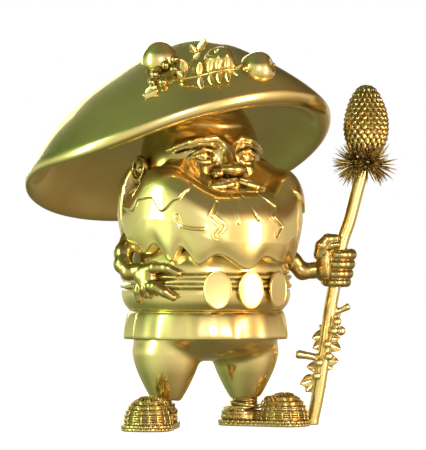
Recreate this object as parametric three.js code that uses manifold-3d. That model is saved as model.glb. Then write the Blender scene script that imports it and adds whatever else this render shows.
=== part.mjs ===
// Polished brass figurine of a bearded forest elder: a wide mushroom hat with fruit, berries and
// leaves, a pleated tunic with a belt of oval plates, woven bast shoes and a pine cone staff.
// Millimetres, +Z up, the figure looks along -Y and its left hand is on the +X side.
import * as THREE from 'three';
import { mergeVertices } from 'three/addons/utils/BufferGeometryUtils.js';
import Module from 'manifold-3d';

const wasm = await Module();
wasm.setup();

// Driving dimensions
const gap = 0.3;                 // clearance between pieces that touch
const torsoRadius = 52;          // widest radius of the body
const torsoFloor = 75;           // where the torso stands on the trousers
const torsoTop = 136;            // flat seat of the head
const hemFloor = 57;             // lower edge of the tunic skirt
const hemThickness = 2.6;        // cloth thickness of the tunic skirt
const hemFlare = 3;              // how far the skirt stands out at its lower edge
const beltHeight = 8.6;
const beltThickness = 2.8;
const beltFloor = 89.4;
const discWidth = 18;            // oval belt plate
const discHeight = 24;
const discThickness = 1.8;
const headWidth = 80;
const headDepth = 68;
const headHeight = 92;
const headCentre = 172;          // height of the middle of the head
const beardLift = 7.5;           // how far the beard stands off the body
const beardSetOut = 5;           // how far the beard's centre stands in front of the body's
const hatRadius = 102;           // brim
const hatCrown = 66;             // crown above the brim
const hatThickness = 10;         // brim thickness at its rolled lip
const hatSetBack = 36;           // hat centre behind the body's centre
const hatHeight = 178.4;         // height of the brim's centre
const hatSlope = 0.42;           // rise of the brim towards the front
const hatDroop = 16;             // sag of the brim over the right cheek
const hatFrontSag = 8;           // sag of the brim over the brow
const hatSwell = 27;             // fullness of the cap behind the right ear
const hatTilt = 0.035;           // rise of the brim towards the left hand
const legSpacing = 58;           // between the middles of the two legs
const legRadius = 21;
const crotchHeight = 42.5;
const ankleSpacing = 64;
const ankleRadius = 7.5;
const ankleTop = 20.5;
const shoeLength = 60.6;
const shoeWidth = 32;
const soleThickness = 4;
const shoeTurn = 45;             // degrees that each toe points outwards
const armRadius = 5.4;
const staffRadius = 4.15;
const staffHeight = 172.5;
const gripSlack = 0.35;          // clearance between the staff and the fist's bore
const coneRadius = 14.6;
const coneHeight = 47;
const rodRadius = 3;             // threaded tie rod through the body
const pinRadius = 2;             // dowel pins

const brassTone = 0xc9a24b;
const steelTone = 0x9a9da0;

const figure = new THREE.Group();

function metal(tone, roughness) {
  return new THREE.MeshStandardMaterial({ color: tone, roughness, metalness: 1 });
}

function addPiece(name, body, tone = brassTone, roughness = 0.16) {
  const mesh = new THREE.Mesh(geometryOf(body), metal(tone, roughness));
  mesh.name = name;
  figure.add(mesh);
}

// A closed three.js geometry becomes a solid that can be joined and cut.
function solid(geometry) {
  geometry.deleteAttribute('normal');
  geometry.deleteAttribute('uv');
  const merged = mergeVertices(geometry, 1e-4);
  const index = merged.index.array;
  const triangles = [];
  for (let i = 0; i < index.length; i += 3) {
    const [a, b, c] = [index[i], index[i + 1], index[i + 2]];
    if (a !== b && b !== c && c !== a) triangles.push(a, b, c);
  }
  const vertProperties = new Float32Array(merged.attributes.position.array);
  const triVerts = new Uint32Array(triangles);
  return new wasm.Manifold(new wasm.Mesh({ numProp: 3, vertProperties, triVerts }));
}

function geometryOf(body) {
  const mesh = body.getMesh();
  const geometry = new THREE.BufferGeometry();
  geometry.setAttribute('position', new THREE.BufferAttribute(new Float32Array(mesh.vertProperties), 3));
  geometry.setIndex(new THREE.BufferAttribute(new Uint32Array(mesh.triVerts), 1));
  geometry.computeVertexNormals();
  return geometry;
}

function join(bodies) {
  return bodies.reduce((whole, body) => whole.add(body));
}

function cut(body, tools) {
  return tools.reduce((rest, tool) => rest.subtract(tool), body);
}

// Moves every vertex of a geometry through a function of its place.
function warp(geometry, move) {
  const places = geometry.attributes.position;
  const point = new THREE.Vector3();
  for (let i = 0; i < places.count; i += 1) {
    point.fromBufferAttribute(places, i);
    move(point);
    places.setXYZ(i, point.x, point.y, point.z);
  }
  return geometry;
}

// A profile of [radius, height] pairs turned about the vertical axis.
function turned(profile, segments = 32) {
  const points = profile.map(([radius, height]) => new THREE.Vector2(radius, height));
  return new THREE.LatheGeometry(points, segments).rotateX(Math.PI / 2);
}

function ball(width, depth, height, across = 20, around = 12) {
  const round = new THREE.SphereGeometry(1, across, around).rotateX(Math.PI / 2);
  return round.scale(width / 2, depth / 2, height / 2);
}

function rodBetween(from, to, radius, sides = 12) {
  const reach = new THREE.Vector3().subVectors(to, from);
  const rod = new THREE.CylinderGeometry(radius, radius, reach.length(), sides);
  const upright = new THREE.Vector3(0, 1, 0);
  const turn = new THREE.Quaternion().setFromUnitVectors(upright, reach.clone().normalize());
  const middle = new THREE.Vector3().addVectors(from, to).multiplyScalar(0.5);
  return rod.applyQuaternion(turn).translate(middle.x, middle.y, middle.z);
}

function tube(points, radius, steps = 10, sides = 10) {
  const section = new THREE.Shape();
  section.absarc(0, 0, radius, 0, Math.PI * 2);
  const path = new THREE.CatmullRomCurve3(points);
  const options = { steps, extrudePath: path, curveSegments: sides / 2, bevelEnabled: false };
  return new THREE.ExtrudeGeometry(section, options);
}

// Places in a vertical plane turned 30 degrees from the shoulders: across, behind and up.
const planeTurn = THREE.MathUtils.degToRad(30);
function spot(across, behind, height) {
  const x = across * Math.cos(planeTurn) + behind * Math.sin(planeTurn);
  const y = behind * Math.cos(planeTurn) - across * Math.sin(planeTurn);
  return new THREE.Vector3(x, y, height);
}

function ease(value, from, to) {
  return THREE.MathUtils.smoothstep(value, from, to);
}

// A slab bent round the body: angle from the front, height between two edges, depth outwards.
function bentSlab(cols, rows, place) {
  const slab = new THREE.BoxGeometry(1, 1, 1, cols, rows, 1);
  return warp(slab, (point) => place(point, point.x + 0.5, point.y + 0.5, point.z + 0.5));
}

function setRound(point, angle, radius, height, setOut = 0) {
  point.set(radius * Math.sin(angle), -setOut - radius * Math.cos(angle), height);
}

// Torso and trousers
function torsoShape(grow = 0) {
  const profile = [
    [0, torsoFloor + gap - grow], [torsoRadius - 2.6 + grow, torsoFloor + gap - grow],
    [torsoRadius + grow, 88], [torsoRadius + grow, 98], [torsoRadius - 3 + grow, 113],
    [torsoRadius - 10 + grow, 126], [30 + grow, torsoTop + grow], [0, torsoTop + grow],
  ];
  return turned(profile, 24);
}

const rodFoot = new THREE.Vector3(0, 0, crotchHeight + 4);
const rodTop = new THREE.Vector3(0, 0, 222);
const boreFoot = new THREE.Vector3(0, 0, crotchHeight - 12.5);
const boreTop = new THREE.Vector3(0, 0, rodTop.z + gap);
const rodBore = () => solid(rodBetween(boreFoot, boreTop, rodRadius + gap));

addPiece('torso', cut(solid(torsoShape()), [rodBore(), ...armPinBores()]));

function armPinBores() {
  return [-1, 1].map((side) => solid(armPin(side, gap)));
}

function armPin(side, grow) {
  const from = new THREE.Vector3(side * (torsoRadius - 14 - grow), 2, 121);
  const to = new THREE.Vector3(side * (torsoRadius - 2 + grow), 2, 121);
  return rodBetween(from, to, pinRadius + grow, 10);
}

const waistRadius = torsoRadius - 5;
function waistShape(grow = 0) {
  const profile = [
    [0, crotchHeight], [16, crotchHeight + 0.5], [30, crotchHeight + 2], [waistRadius - 7, crotchHeight + 5],
    [waistRadius - 2, crotchHeight + 9.5], [waistRadius + grow, crotchHeight + 16],
    [waistRadius + 0.2 + grow, 66], [waistRadius + grow, torsoFloor], [0, torsoFloor],
  ];
  return turned(profile, 20);
}

function legShape(side) {
  const profile = [
    [0, 17.5], [legRadius * 0.32, 17.8], [legRadius * 0.48, 20.5], [legRadius * 0.6, 25],
    [legRadius * 0.73, 30.5], [legRadius * 0.86, 37], [legRadius * 0.96, 44], [legRadius, 50],
    [legRadius * 0.9, 58], [0, 60],
  ];
  return turned(profile, 12).scale(1, 1.14, 1).translate(side * legSpacing / 2, 0, 0);
}

const nutHeight = 5;
const nutRadius = 6;
const washerRadius = 8;
const pocketRoof = crotchHeight + 11.5;
const pocketProfile = [
  [0, crotchHeight - 12.5], [washerRadius + 1, crotchHeight - 12.5], [washerRadius + 1, pocketRoof],
  [0, pocketRoof],
];
const nutPocket = () => solid(turned(pocketProfile, 20));

function anklePlace(side) {
  return new THREE.Vector3(side * ankleSpacing / 2, 3.8, 0);
}

function ankleShape(side, grow = 0) {
  const foot = 10.5;
  const radius = ankleRadius + grow;
  const profile = [
    [0, foot - grow], [radius, foot - grow], [radius + 0.3, foot + 5],
    [radius - 0.6, ankleTop + grow], [0, ankleTop + grow],
  ];
  const place = anklePlace(side);
  return turned(profile, 10).translate(place.x, place.y, 0);
}

function legPin(side, grow) {
  const place = anklePlace(side);
  const from = new THREE.Vector3(place.x, place.y, 5.5 - grow);
  const to = new THREE.Vector3(place.x, place.y, 36 + grow);
  return rodBetween(from, to, pinRadius + grow, 10);
}

const trouserTools = [
  rodBore(), nutPocket(), solid(ankleShape(-1, gap)), solid(ankleShape(1, gap)),
  solid(legPin(-1, gap)), solid(legPin(1, gap)),
];
const trouserBody = join([solid(waistShape()), solid(legShape(-1)), solid(legShape(1))]);
addPiece('trousers', cut(trouserBody, trouserTools));

// Tunic skirt: a front and a back panel with open slits at the hips
function hemPanel(middle, halfAngle) {
  const pleat = 0.5;
  const panel = bentSlab(22, 1, (point, across, up, out) => {
    const angle = middle + (across * 2 - 1) * halfAngle;
    const height = hemFloor + up * (torsoFloor - hemFloor);
    const fold = pleat * (1 - up) * Math.sin(angle * 11) * out;
    const radius = waistRadius + 0.2 + gap + (1 - up) * hemFlare + out * hemThickness + fold;
    setRound(point, angle, radius, height);
  });
  return solid(panel);
}
const slitHalf = THREE.MathUtils.degToRad(89);
addPiece('tunic_front_panel', hemPanel(0, slitHalf));
addPiece('tunic_back_panel', hemPanel(Math.PI, slitHalf));

// Belt and its three oval plates
const beltInner = torsoRadius + gap;
const beltOuter = beltInner + beltThickness;
function beltShape(grow = 0) {
  const half = beltHeight / 2 + grow;
  const middle = beltFloor + beltHeight / 2;
  const edge = beltOuter + grow;
  const profile = [
    [beltInner, middle - half], [edge, middle - half], [edge, middle - half * 0.3], [edge - 0.8, middle],
    [edge, middle + half * 0.3], [edge, middle + half], [beltInner, middle + half],
    [beltInner, middle - half],
  ];
  return turned(profile, 24);
}
addPiece('belt', solid(beltShape()));

const discAngles = [-22.5, 0, 24].map(THREE.MathUtils.degToRad);
discAngles.forEach((angle, number) => {
  const disc = new THREE.CylinderGeometry(0.5, 0.5, discThickness, 28).scale(discWidth, 1, discHeight);
  const standOff = beltOuter + gap + discThickness / 2;
  disc.translate(0, -standOff, 0).rotateZ(angle).translate(0, 0, beltFloor - 0.9);
  addPiece(`belt_disc_${number + 1}`, solid(disc), brassTone, 0.1);
});

// Head with its face
const headPlace = new THREE.Vector3(0, 7, headCentre);
function headShape(grow = 0) {
  const head = ball(headWidth + 2 * grow, headDepth + 2 * grow, headHeight + 2 * grow, 18, 10);
  return head.translate(headPlace.x, headPlace.y, headPlace.z);
}
const eyeSpacing = 30.8;
function eyeShape(side, grow = 0) {
  const eye = ball(9 + 2 * grow, 9 + 2 * grow, 7.4 + 2 * grow, 10, 6);
  return eye.translate(side * eyeSpacing / 2, -21.6, 173.6);
}
const neckCut = () => solid(new THREE.BoxGeometry(120, 120, 40).translate(0, 0, torsoTop + gap - 20));
const eyeSockets = [-1, 1].map((side) => solid(eyeShape(side, gap)));
addPiece('head', cut(solid(headShape()), [neckCut(), rodBore(), ...eyeSockets]));

const headRoom = solid(headShape(gap));
for (const [side, hand] of [[-1, 'right'], [1, 'left']]) {
  addPiece(`eye_${hand}`, solid(eyeShape(side)));
  const browPath = [
    new THREE.Vector3(side * 5, -30.5, 179.5), new THREE.Vector3(side * 12, -29.5, 182.5),
    new THREE.Vector3(side * 20, -26.5, 182), new THREE.Vector3(side * 26, -22, 178.5),
  ];
  addPiece(`brow_${hand}`, cut(solid(tube(browPath, 2.6, 5, 6)), [headRoom]));
  const ear = ball(9, 9, 14, 10, 6).rotateX(0.2).translate(side * (headWidth / 2 + 2), 8, 166.5);
  addPiece(`ear_${hand}`, cut(solid(ear), [headRoom]));
}
const noseBulb = solid(ball(15, 15, 9, 12, 6).translate(0, -32, 165));
const noseWings = [-1, 1].map((side) => solid(ball(7, 8, 6, 8, 5).translate(side * 7, -29.5, 163.5)));
const noseBridge = solid(ball(9, 10, 20, 8, 6).translate(0, -27.5, 171));
addPiece('nose', cut(join([noseBulb, noseBridge, ...noseWings]), [headRoom]));

// Arms, cut to the body's side
const bellySpread = torsoRadius / 52;
const shoulder = (side) => new THREE.Vector3(side * (torsoRadius - 11), 2, 122.5);
const rightArmPath = [
  shoulder(-1), new THREE.Vector3(-torsoRadius - 5.5, 0, 115), new THREE.Vector3(-torsoRadius - 10, -3, 105),
  new THREE.Vector3(-torsoRadius - 8.5, -9 * bellySpread, 100),
  new THREE.Vector3(-torsoRadius - 4, -15 * bellySpread, 100.5),
];
const staffBehind = 26;
// Places beside the staff, which stands further out when the hat is wider.
const staffSetOut = Math.max(hatRadius - 102, torsoRadius - 52, 0);
function beside(across, behind, height) {
  return spot(across + staffSetOut, behind, height);
}
const leftArmPath = [
  shoulder(1), new THREE.Vector3(torsoRadius + 6, -3, 112.5), beside(63, staffBehind - 1, 100.5),
  beside(71, staffBehind, 101.5),
];
const torsoRoom = solid(torsoShape(gap));
const beltRoom = solid(beltShape(gap));
const rightArm = (grow) => solid(tube(rightArmPath, armRadius + grow, 9, 8));
const leftArm = (grow) => solid(tube(leftArmPath, armRadius + grow, 8, 8));

// Staff line: straight through the fist, a gentle bend above and below it
const gripMiddle = beside(87, staffBehind, 108);
const gripLean = new THREE.Vector3().subVectors(spot(0.18, 0, 1), spot(0, 0, 0)).normalize();
function alongGrip(distance) {
  return gripMiddle.clone().addScaledVector(gripLean, distance);
}
const staffAcross = 103.4;        // at the staff's upper end
const staffPath = [
  beside(68, staffBehind, -3), beside(73.1, staffBehind, 20), beside(77.2, staffBehind, 46),
  alongGrip(-36), alongGrip(-24), alongGrip(-12), alongGrip(0), alongGrip(12),
  beside(93.7, staffBehind, 133), beside(96.2, staffBehind, 142.5), beside(100, staffBehind, 157),
  beside(102.6, staffBehind, staffHeight - 6.5), beside(staffAcross, staffBehind, staffHeight),
];

// Hands
function fingerRound(height, reach) {
  const middle = alongGrip(height);
  const bend = staffRadius + gripSlack + 3.3;
  const points = [];
  for (let step = 0; step <= 6; step += 1) {
    const angle = THREE.MathUtils.degToRad(-150 + step * reach / 6) - planeTurn;
    const sideways = bend * Math.cos(angle);
    points.push(new THREE.Vector3(middle.x + sideways, middle.y + bend * Math.sin(angle), middle.z));
  }
  return solid(tube(points, 3, 7, 6));
}
const fistPalm = ball(17, 19, 28, 10, 7).rotateZ(-planeTurn);
const palmPlace = beside(78.6, staffBehind, 107);
fistPalm.translate(palmPlace.x, palmPlace.y, palmPlace.z);
const thumbPath = [
  beside(73, staffBehind - 6, 112), beside(76, staffBehind - 8, 118), beside(83, staffBehind - 7, 120.5),
];
const fingerPlaces = [[3, 270], [-3, 270], [-9, 265], [-14.5, 255]];
const fingers = fingerPlaces.map(([height, reach]) => fingerRound(height, reach));
const fistBore = solid(rodBetween(alongGrip(-40), alongGrip(40), staffRadius + gripSlack, 12));
const leftHandBody = cut(join([solid(fistPalm), solid(tube(thumbPath, 3.4, 4, 6)), ...fingers]), [fistBore]);
addPiece('hand_left', leftHandBody);
const cuffRoom = [-gap, gap].map((shift) => leftHandBody.translate([shift, 0, 0]));
addPiece('arm_left', cut(leftArm(0), [torsoRoom, leftHandBody, ...cuffRoom, ...armPinBores()]));

const handRadius = beltOuter + 4;
function onBelly(across, height, proud = 0) {
  const reach = handRadius + proud;
  const along = across * bellySpread;
  return spot(along, -Math.sqrt(reach * reach - along * along), height);
}
const rightPalm = ball(16, 8, 17, 10, 6).rotateZ(-planeTurn - 0.62);
const rightPalmPlace = onBelly(-36, 96, 0.3);
rightPalm.translate(rightPalmPlace.x, rightPalmPlace.y, rightPalmPlace.z);
const rightFingers = [
  [[-36, 92], [-28, 87.5], [-19.7, 84]], [[-38, 101], [-27, 102.5], [-16, 98.8]],
  [[-36, 95], [-34, 92], [-32.6, 87.5]], [[-39, 94], [-38.5, 90], [-37, 85]],
  [[-42, 94], [-43, 88], [-41.9, 82]],
].map((points) => solid(tube(points.map(([across, height]) => onBelly(across, height)), 3.2, 4, 6)));
const rightHandBody = cut(join([solid(rightPalm), ...rightFingers]), [torsoRoom, beltRoom]);
addPiece('hand_right', rightHandBody);
const wristRoom = [-gap, gap].map((shift) => rightHandBody.translate([0, shift, 0]));
addPiece('arm_right', cut(rightArm(0), [torsoRoom, beltRoom, rightHandBody, ...wristRoom, ...armPinBores()]));

// Beard and mane: thick shells hanging round the head and chest
const beardTips = [
  [-96, 120], [-80, 111], [-69, 117], [-57, 106], [-49, 115], [-37, 104], [-25, 110], [-4, 101],
  [9, 109], [22, 106], [33, 112], [45, 105], [56, 115], [68, 107], [80, 114], [96, 121],
];
function edgeHeight(table, degrees) {
  const last = table.length - 1;
  const place = table.findIndex(([angle]) => angle > degrees);
  if (place === 0) return table[0][1];
  if (place < 0) return table[last][1];
  const [fromAngle, from] = table[place - 1];
  const [toAngle, to] = table[place];
  return THREE.MathUtils.lerp(from, to, (degrees - fromAngle) / (toAngle - fromAngle));
}
const beardRadius = torsoRadius + beardLift;
function hairRadius(edgeRadius, drop) {
  const curve = 1 - Math.min(drop / 24, 1);
  const bulge = (beardRadius - edgeRadius) * Math.sqrt(1 - curve * curve);
  return edgeRadius + bulge - Math.max(drop - 34, 0) * 0.14;
}
const beardInner = Math.min(36, headWidth * 0.45);
function beardTop(degrees) {
  const turn = Math.abs(degrees);
  return 151.5 + 15 * ease(turn, 20, 62) - 12 * ease(turn, 74, 92);
}
function beardShape(grow = 0) {
  const halfTurn = 100;
  return bentSlab(34, 6, (point, across, up, out) => {
    const degrees = (across * 2 - 1) * (halfTurn + grow);
    const top = beardTop(degrees) + grow;
    const height = THREE.MathUtils.lerp(edgeHeight(beardTips, degrees) - grow, top, up);
    const edge = 37 + 7 * ease(Math.abs(degrees), 20, 70);
    const radius = out > 0.5 ? hairRadius(edge, top - height) + grow : beardInner;
    setRound(point, THREE.MathUtils.degToRad(degrees), radius, height, beardSetOut);
  });
}
const hairTools = [torsoRoom, headRoom, rightArm(gap), leftArm(gap)];
const beardBody = cut(solid(beardShape()), hairTools);
addPiece('beard', beardBody);
const beardRoom = solid(beardShape(gap));

const maneTips = [
  [102, 124], [110, 113], [120, 121], [131, 111], [142, 120], [153, 109], [166, 118], [180, 107],
  [194, 118], [207, 109], [218, 120], [229, 111], [240, 121], [250, 113], [258, 124],
];
const maneSlab = bentSlab(28, 4, (point, across, up, out) => {
  const degrees = THREE.MathUtils.lerp(101.5, 258.5, across);
  const top = 171;
  const height = THREE.MathUtils.lerp(edgeHeight(maneTips, degrees), top, up);
  const radius = out > 0.5 ? hairRadius(42, top - height) - 3 : 34;
  setRound(point, THREE.MathUtils.degToRad(degrees), radius, height, beardSetOut * -0.4);
});
const ears = [-1, 1].map((side) => {
  const room = ball(10, 10, 15, 10, 6).rotateX(0.2);
  return solid(room.translate(side * (headWidth / 2 + 2), 8, 166.5));
});
addPiece('hair_mane', cut(solid(maneSlab), [...hairTools, beardRoom, ...ears]));

for (const [side, hand] of [[-1, 'right'], [1, 'left']]) {
  const halfPath = [
    new THREE.Vector3(side * 2.6, -41.5, 156.4), new THREE.Vector3(side * 10, -40, 156.8),
    new THREE.Vector3(side * 19, -34, 155.2),
  ];
  addPiece(`moustache_${hand}`, cut(solid(tube(halfPath, 2.1, 4, 6)), [headRoom, beardRoom]));
}
const tuftPath = [
  new THREE.Vector3(-6, -45, 150), new THREE.Vector3(0, -46.5, 149), new THREE.Vector3(6, -45, 150),
];
addPiece('lip_tuft', cut(solid(tube(tuftPath, 1.9, 3, 6)), [headRoom, beardRoom]));

// Hat: a mushroom cap whose brim slopes down to the back, with a rolled lip
const hatTopProfile = [
  [0, 1], [0.147, 0.985], [0.294, 0.92], [0.412, 0.815], [0.525, 0.69], [0.716, 0.46], [0.88, 0.235],
  [0.98, 0.07],
];
const hatUnderProfile = [[0.985, -0.45], [0.93, -0.6], [0.8, 0.3], [0.6, 1.1], [0.35, 1.55], [0, 1.7]];
const hatSquash = 0.922;         // depth of the brim's oval against its width
function bell(degrees, middle, width) {
  const apart = (degrees - middle + 540) % 360 - 180;
  return Math.exp(-((apart / width) ** 2));
}
// Height of the wavy brim's mid surface above the crown profile, at a place on the round hat
function brimWave(x, y) {
  const reach = Math.min(Math.hypot(x, y) / hatRadius, 1);
  const degrees = THREE.MathUtils.radToDeg(Math.atan2(x, -y));
  const droop = hatDroop * bell(degrees, -58, 36) * reach ** 1.9;
  const sag = hatFrontSag * bell(degrees, -12, 36) * reach ** 3;
  const swell = hatSwell * bell(degrees, -118, 48) * 4 * reach ** 3 * (1 - reach);
  return hatHeight + hatTilt * x - hatSlope * y * hatSquash - droop - sag + swell;
}
function hatShape(grow = 0) {
  const top = hatTopProfile.map(([radius, height]) => [radius * hatRadius, height * hatCrown + grow]);
  const lip = [[hatRadius + grow, 0]];
  const under = hatUnderProfile.map(([radius, height]) => [radius * hatRadius, height * hatThickness - grow]);
  return warp(turned([...top, ...lip, ...under].reverse(), 32), (point) => {
    const wave = brimWave(point.x, point.y);
    point.set(point.x, point.y * hatSquash + hatSetBack, point.z + wave);
  });
}
// A place on the hat's upper surface. Trimmings are laid out for a 102 mm brim and spread with it.
const trimSpread = hatRadius / 102;
function onHat(across, behind, lift) {
  const place = spot(across, behind, 0);
  const x = place.x * trimSpread;
  const y = (place.y - hatSetBack) / hatSquash * trimSpread;
  const reach = Math.min(Math.hypot(x, y) / hatRadius, 1);
  const outer = [...hatTopProfile, [1, 0]].findIndex(([radius]) => radius >= reach);
  const [farRadius, farHeight] = hatTopProfile[outer] || [1, 0];
  const [nearRadius, nearHeight] = hatTopProfile[Math.max(outer - 1, 0)];
  const share = (reach - nearRadius) / Math.max(farRadius - nearRadius, 0.001);
  const crown = hatCrown * THREE.MathUtils.lerp(nearHeight, farHeight, share);
  return new THREE.Vector3(x, y * hatSquash + hatSetBack, crown + brimWave(x, y) + lift);
}
const hatRoom = solid(hatShape(gap));
const stemFoot = onHat(-34.5, -19.4, -15.5);
const stemTop = onHat(-31, -25.5, 3.1);
const stemRadius = 4.4;
function alongStem(share) {
  return new THREE.Vector3().lerpVectors(stemFoot, stemTop, share);
}
const mushroomPin = (grow) => solid(rodBetween(
  alongStem(-0.05 - grow * 0.06), alongStem(0.9 + grow * 0.06), pinRadius + grow, 10));
addPiece('hat', cut(solid(hatShape()), [headRoom, rodBore(), mushroomPin(gap)]));

// Trimmings on the front of the hat
const stem = solid(rodBetween(stemFoot, stemTop, stemRadius, 14));
addPiece('hat_mushroom_stem', cut(stem, [hatRoom, mushroomPin(gap)]));
const miniCap = turned([[0, 0], [11, 0], [11.7, 0.6], [10.4, 5], [6, 10.6], [0, 12.5]], 14);
miniCap.rotateY(-0.28).rotateX(0.22).translate(stemTop.x + 2.6, stemTop.y + 1.2, stemTop.z + 0.6);
const stemRoom = solid(rodBetween(stemFoot, stemTop, stemRadius + gap, 14));
addPiece('hat_mushroom_cap', cut(solid(miniCap), [hatRoom, stemRoom]));

const apples = [[9, -34.1, 0.7, 10.3, [-5, 0, 9.2]], [32.2, -26.9, -1.1, 11.3, [10.4, 0, 2.6]]];
apples.forEach(([across, behind, lift, radius, [aside, inwards, up]], number) => {
  const place = onHat(across, behind, lift);
  const fruit = ball(2 * radius, 2 * radius, 1.92 * radius, 14, 8).translate(place.x, place.y, place.z);
  const stalkWay = spot(aside, inwards, up);
  const stalkFrom = place.clone().addScaledVector(stalkWay, 0.86);
  const stalkTo = place.clone().addScaledVector(stalkWay, 1.36);
  const stalkHole = solid(rodBetween(stalkFrom, stalkTo, 1 + gap, 8));
  addPiece(`hat_apple_${number + 1}`, cut(solid(fruit), [hatRoom, stalkHole]));
  addPiece(`apple_stalk_${number + 1}`, solid(rodBetween(stalkFrom.lerp(stalkTo, 0.08), stalkTo, 1, 8)));
});

const berryRadius = 3;
function berryBunch(berries, root) {
  const bodies = [];
  for (const berry of berries) {
    const middle = onHat(...berry);
    const fruit = ball(2 * berryRadius, 2 * berryRadius, 2 * berryRadius, 8, 5);
    bodies.push(solid(fruit.translate(middle.x, middle.y, middle.z)));
    bodies.push(solid(rodBetween(middle, onHat(...root), 0.7, 4)));
  }
  return cut(join(bodies), [hatRoom]);
}
const upperBerries = [[-19.4, -39.6, 9.2], [-25.4, -40.6, 8.4], [-20, -41.6, 4.7]];
const lowerBerries = [[-32.3, -38, 3.2], [-33.7, -43.7, 3.2], [-26.9, -47.2, 3.2]];
addPiece('hat_berries_upper', berryBunch(upperBerries, [-19.5, -38.6, 4.3]));
addPiece('hat_berries_lower', berryBunch(lowerBerries, [-28.5, -39.8, 1.6]));

// A flat pointed leaf from its root, reaching aside and up in the plane of spot()
function leafBlade(root, aside, up, width, thickness = 0.8) {
  const length = Math.hypot(aside, up);
  const outline = new THREE.Shape();
  outline.moveTo(0, 0);
  outline.quadraticCurveTo(length * 0.5, width, length, 0);
  outline.quadraticCurveTo(length * 0.5, -width, 0, 0);
  const options = { depth: thickness, bevelEnabled: false, curveSegments: 3 };
  const blade = new THREE.ExtrudeGeometry(outline, options);
  blade.rotateX(Math.PI / 2).rotateY(-Math.atan2(up, aside)).rotateZ(-planeTurn);
  return solid(blade.translate(root.x, root.y, root.z));
}

const climbing = [onHat(-14.6, -48, 3), onHat(-10, -41.9, 5.9), onHat(-4.4, -28.4, 6)];
const climbingLeaves = [
  [[-5, -28.9, 5.1], [4, 6]], [[-13.5, -46.1, 3.5], [-0.5, 7]], [[-10.6, -42.2, 5.3], [-5, 4.4]],
];
const climbingParts = climbingLeaves.map(([root, reach]) => leafBlade(onHat(...root), ...reach, 2.4));
addPiece('leaf_sprig_upper', cut(join([solid(tube(climbing, 0.8, 4, 4)), ...climbingParts]), [hatRoom]));

const trailing = [
  onHat(-14, -50.2, 4.7), onHat(-4.2, -51.3, 5.6), onHat(9.7, -49.8, 8.5), onHat(17, -46.4, 6.9),
];
const trailingParts = [solid(tube(trailing, 0.8, 5, 4))];
const leafPairs = [[-4.2, -50.9, 5.5], [2.2, -50.1, 6.3], [7.3, -49.4, 7.1], [12.8, -47.9, 7.1]];
for (const [across, behind, lift] of leafPairs) {
  trailingParts.push(leafBlade(onHat(across, behind, lift - 0.4), 0.4, 9, 2.6));
  trailingParts.push(leafBlade(onHat(across, behind, lift + 0.4), 0.6, -8.4, 2.6));
}
addPiece('leaf_sprig_lower', cut(join(trailingParts), [hatRoom]));

const hatLeafRoot = onHat(-37, -50.3, 3.4);
const hatLeafLobes = [[0, 0, 4, 2.7], [0, 0.5, 7.4, -2], [0.6, 0.4, 0.4, -5], [-0.6, 0.2, 6, 0.6]];
addPiece('hat_leaf', cut(join(hatLeafLobes.map(([aside, up, reachAside, reachUp]) => (
  leafBlade(hatLeafRoot.clone().add(spot(aside, 0, up)), reachAside, reachUp, 3)))), [hatRoom]));

// Shoes of woven bast: a flat sole, a full toe, a heel cup and an ankle wrap
const soleHalf = shoeWidth / 2;
const heelBack = -18;
const toeFront = shoeLength + heelBack;
function toShoe(geometry, side) {
  const turn = THREE.MathUtils.degToRad(-90 + side * shoeTurn);
  const place = anklePlace(side);
  return geometry.rotateZ(turn).translate(place.x, place.y, 0);
}
function soleShape(side) {
  const outline = new THREE.Shape();
  outline.moveTo(heelBack, 0);
  const rim = [[heelBack + 4, 0.58], [0, 0.72], [12, 0.84], [25, 0.99], [34, 0.96], [toeFront - 2.5, 0.6]];
  outline.splineThru(rim.map(([x, share]) => new THREE.Vector2(x, -share * soleHalf)));
  outline.lineTo(toeFront, 0);
  const back = rim.slice().reverse().map(([x, share]) => new THREE.Vector2(x, share * soleHalf));
  outline.lineTo(back[0].x, back[0].y);
  outline.splineThru(back.slice(1));
  outline.lineTo(heelBack, 0);
  const options = { depth: soleThickness, bevelEnabled: false, curveSegments: 2 };
  return toShoe(new THREE.ExtrudeGeometry(outline, options), side);
}
function upperShape(side) {
  const toe = solid(toShoe(ball(32, shoeWidth - 1.4, 33, 12, 8).translate(25.2, 0, soleThickness + 1), side));
  const heel = solid(toShoe(ball(27, 20, 24, 10, 8).translate(-3.2, 0, soleThickness), side));
  const ground = solid(new THREE.BoxGeometry(220, 220, 60).translate(0, 0, soleThickness + gap - 30));
  const legTools = [solid(ankleShape(side, gap)), solid(legPin(side, gap)), legRoom(side)];
  return cut(join([toe, heel]), [ground, ...legTools]);
}
function legRoom(side) {
  return solid(legShape(side).translate(0, 0, -gap));
}
for (const [side, hand] of [[-1, 'right'], [1, 'left']]) {
  addPiece(`shoe_sole_${hand}`, solid(soleShape(side)));
  addPiece(`shoe_upper_${hand}`, upperShape(side));
  addPiece(`ankle_wrap_${hand}`, cut(solid(ankleShape(side)), [solid(legPin(side, gap))]));
  addPiece(`leg_pin_${hand}`, solid(legPin(side, 0)), steelTone, 0.4);
  addPiece(`arm_pin_${hand}`, solid(armPin(side, 0)), steelTone, 0.4);
}

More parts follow.
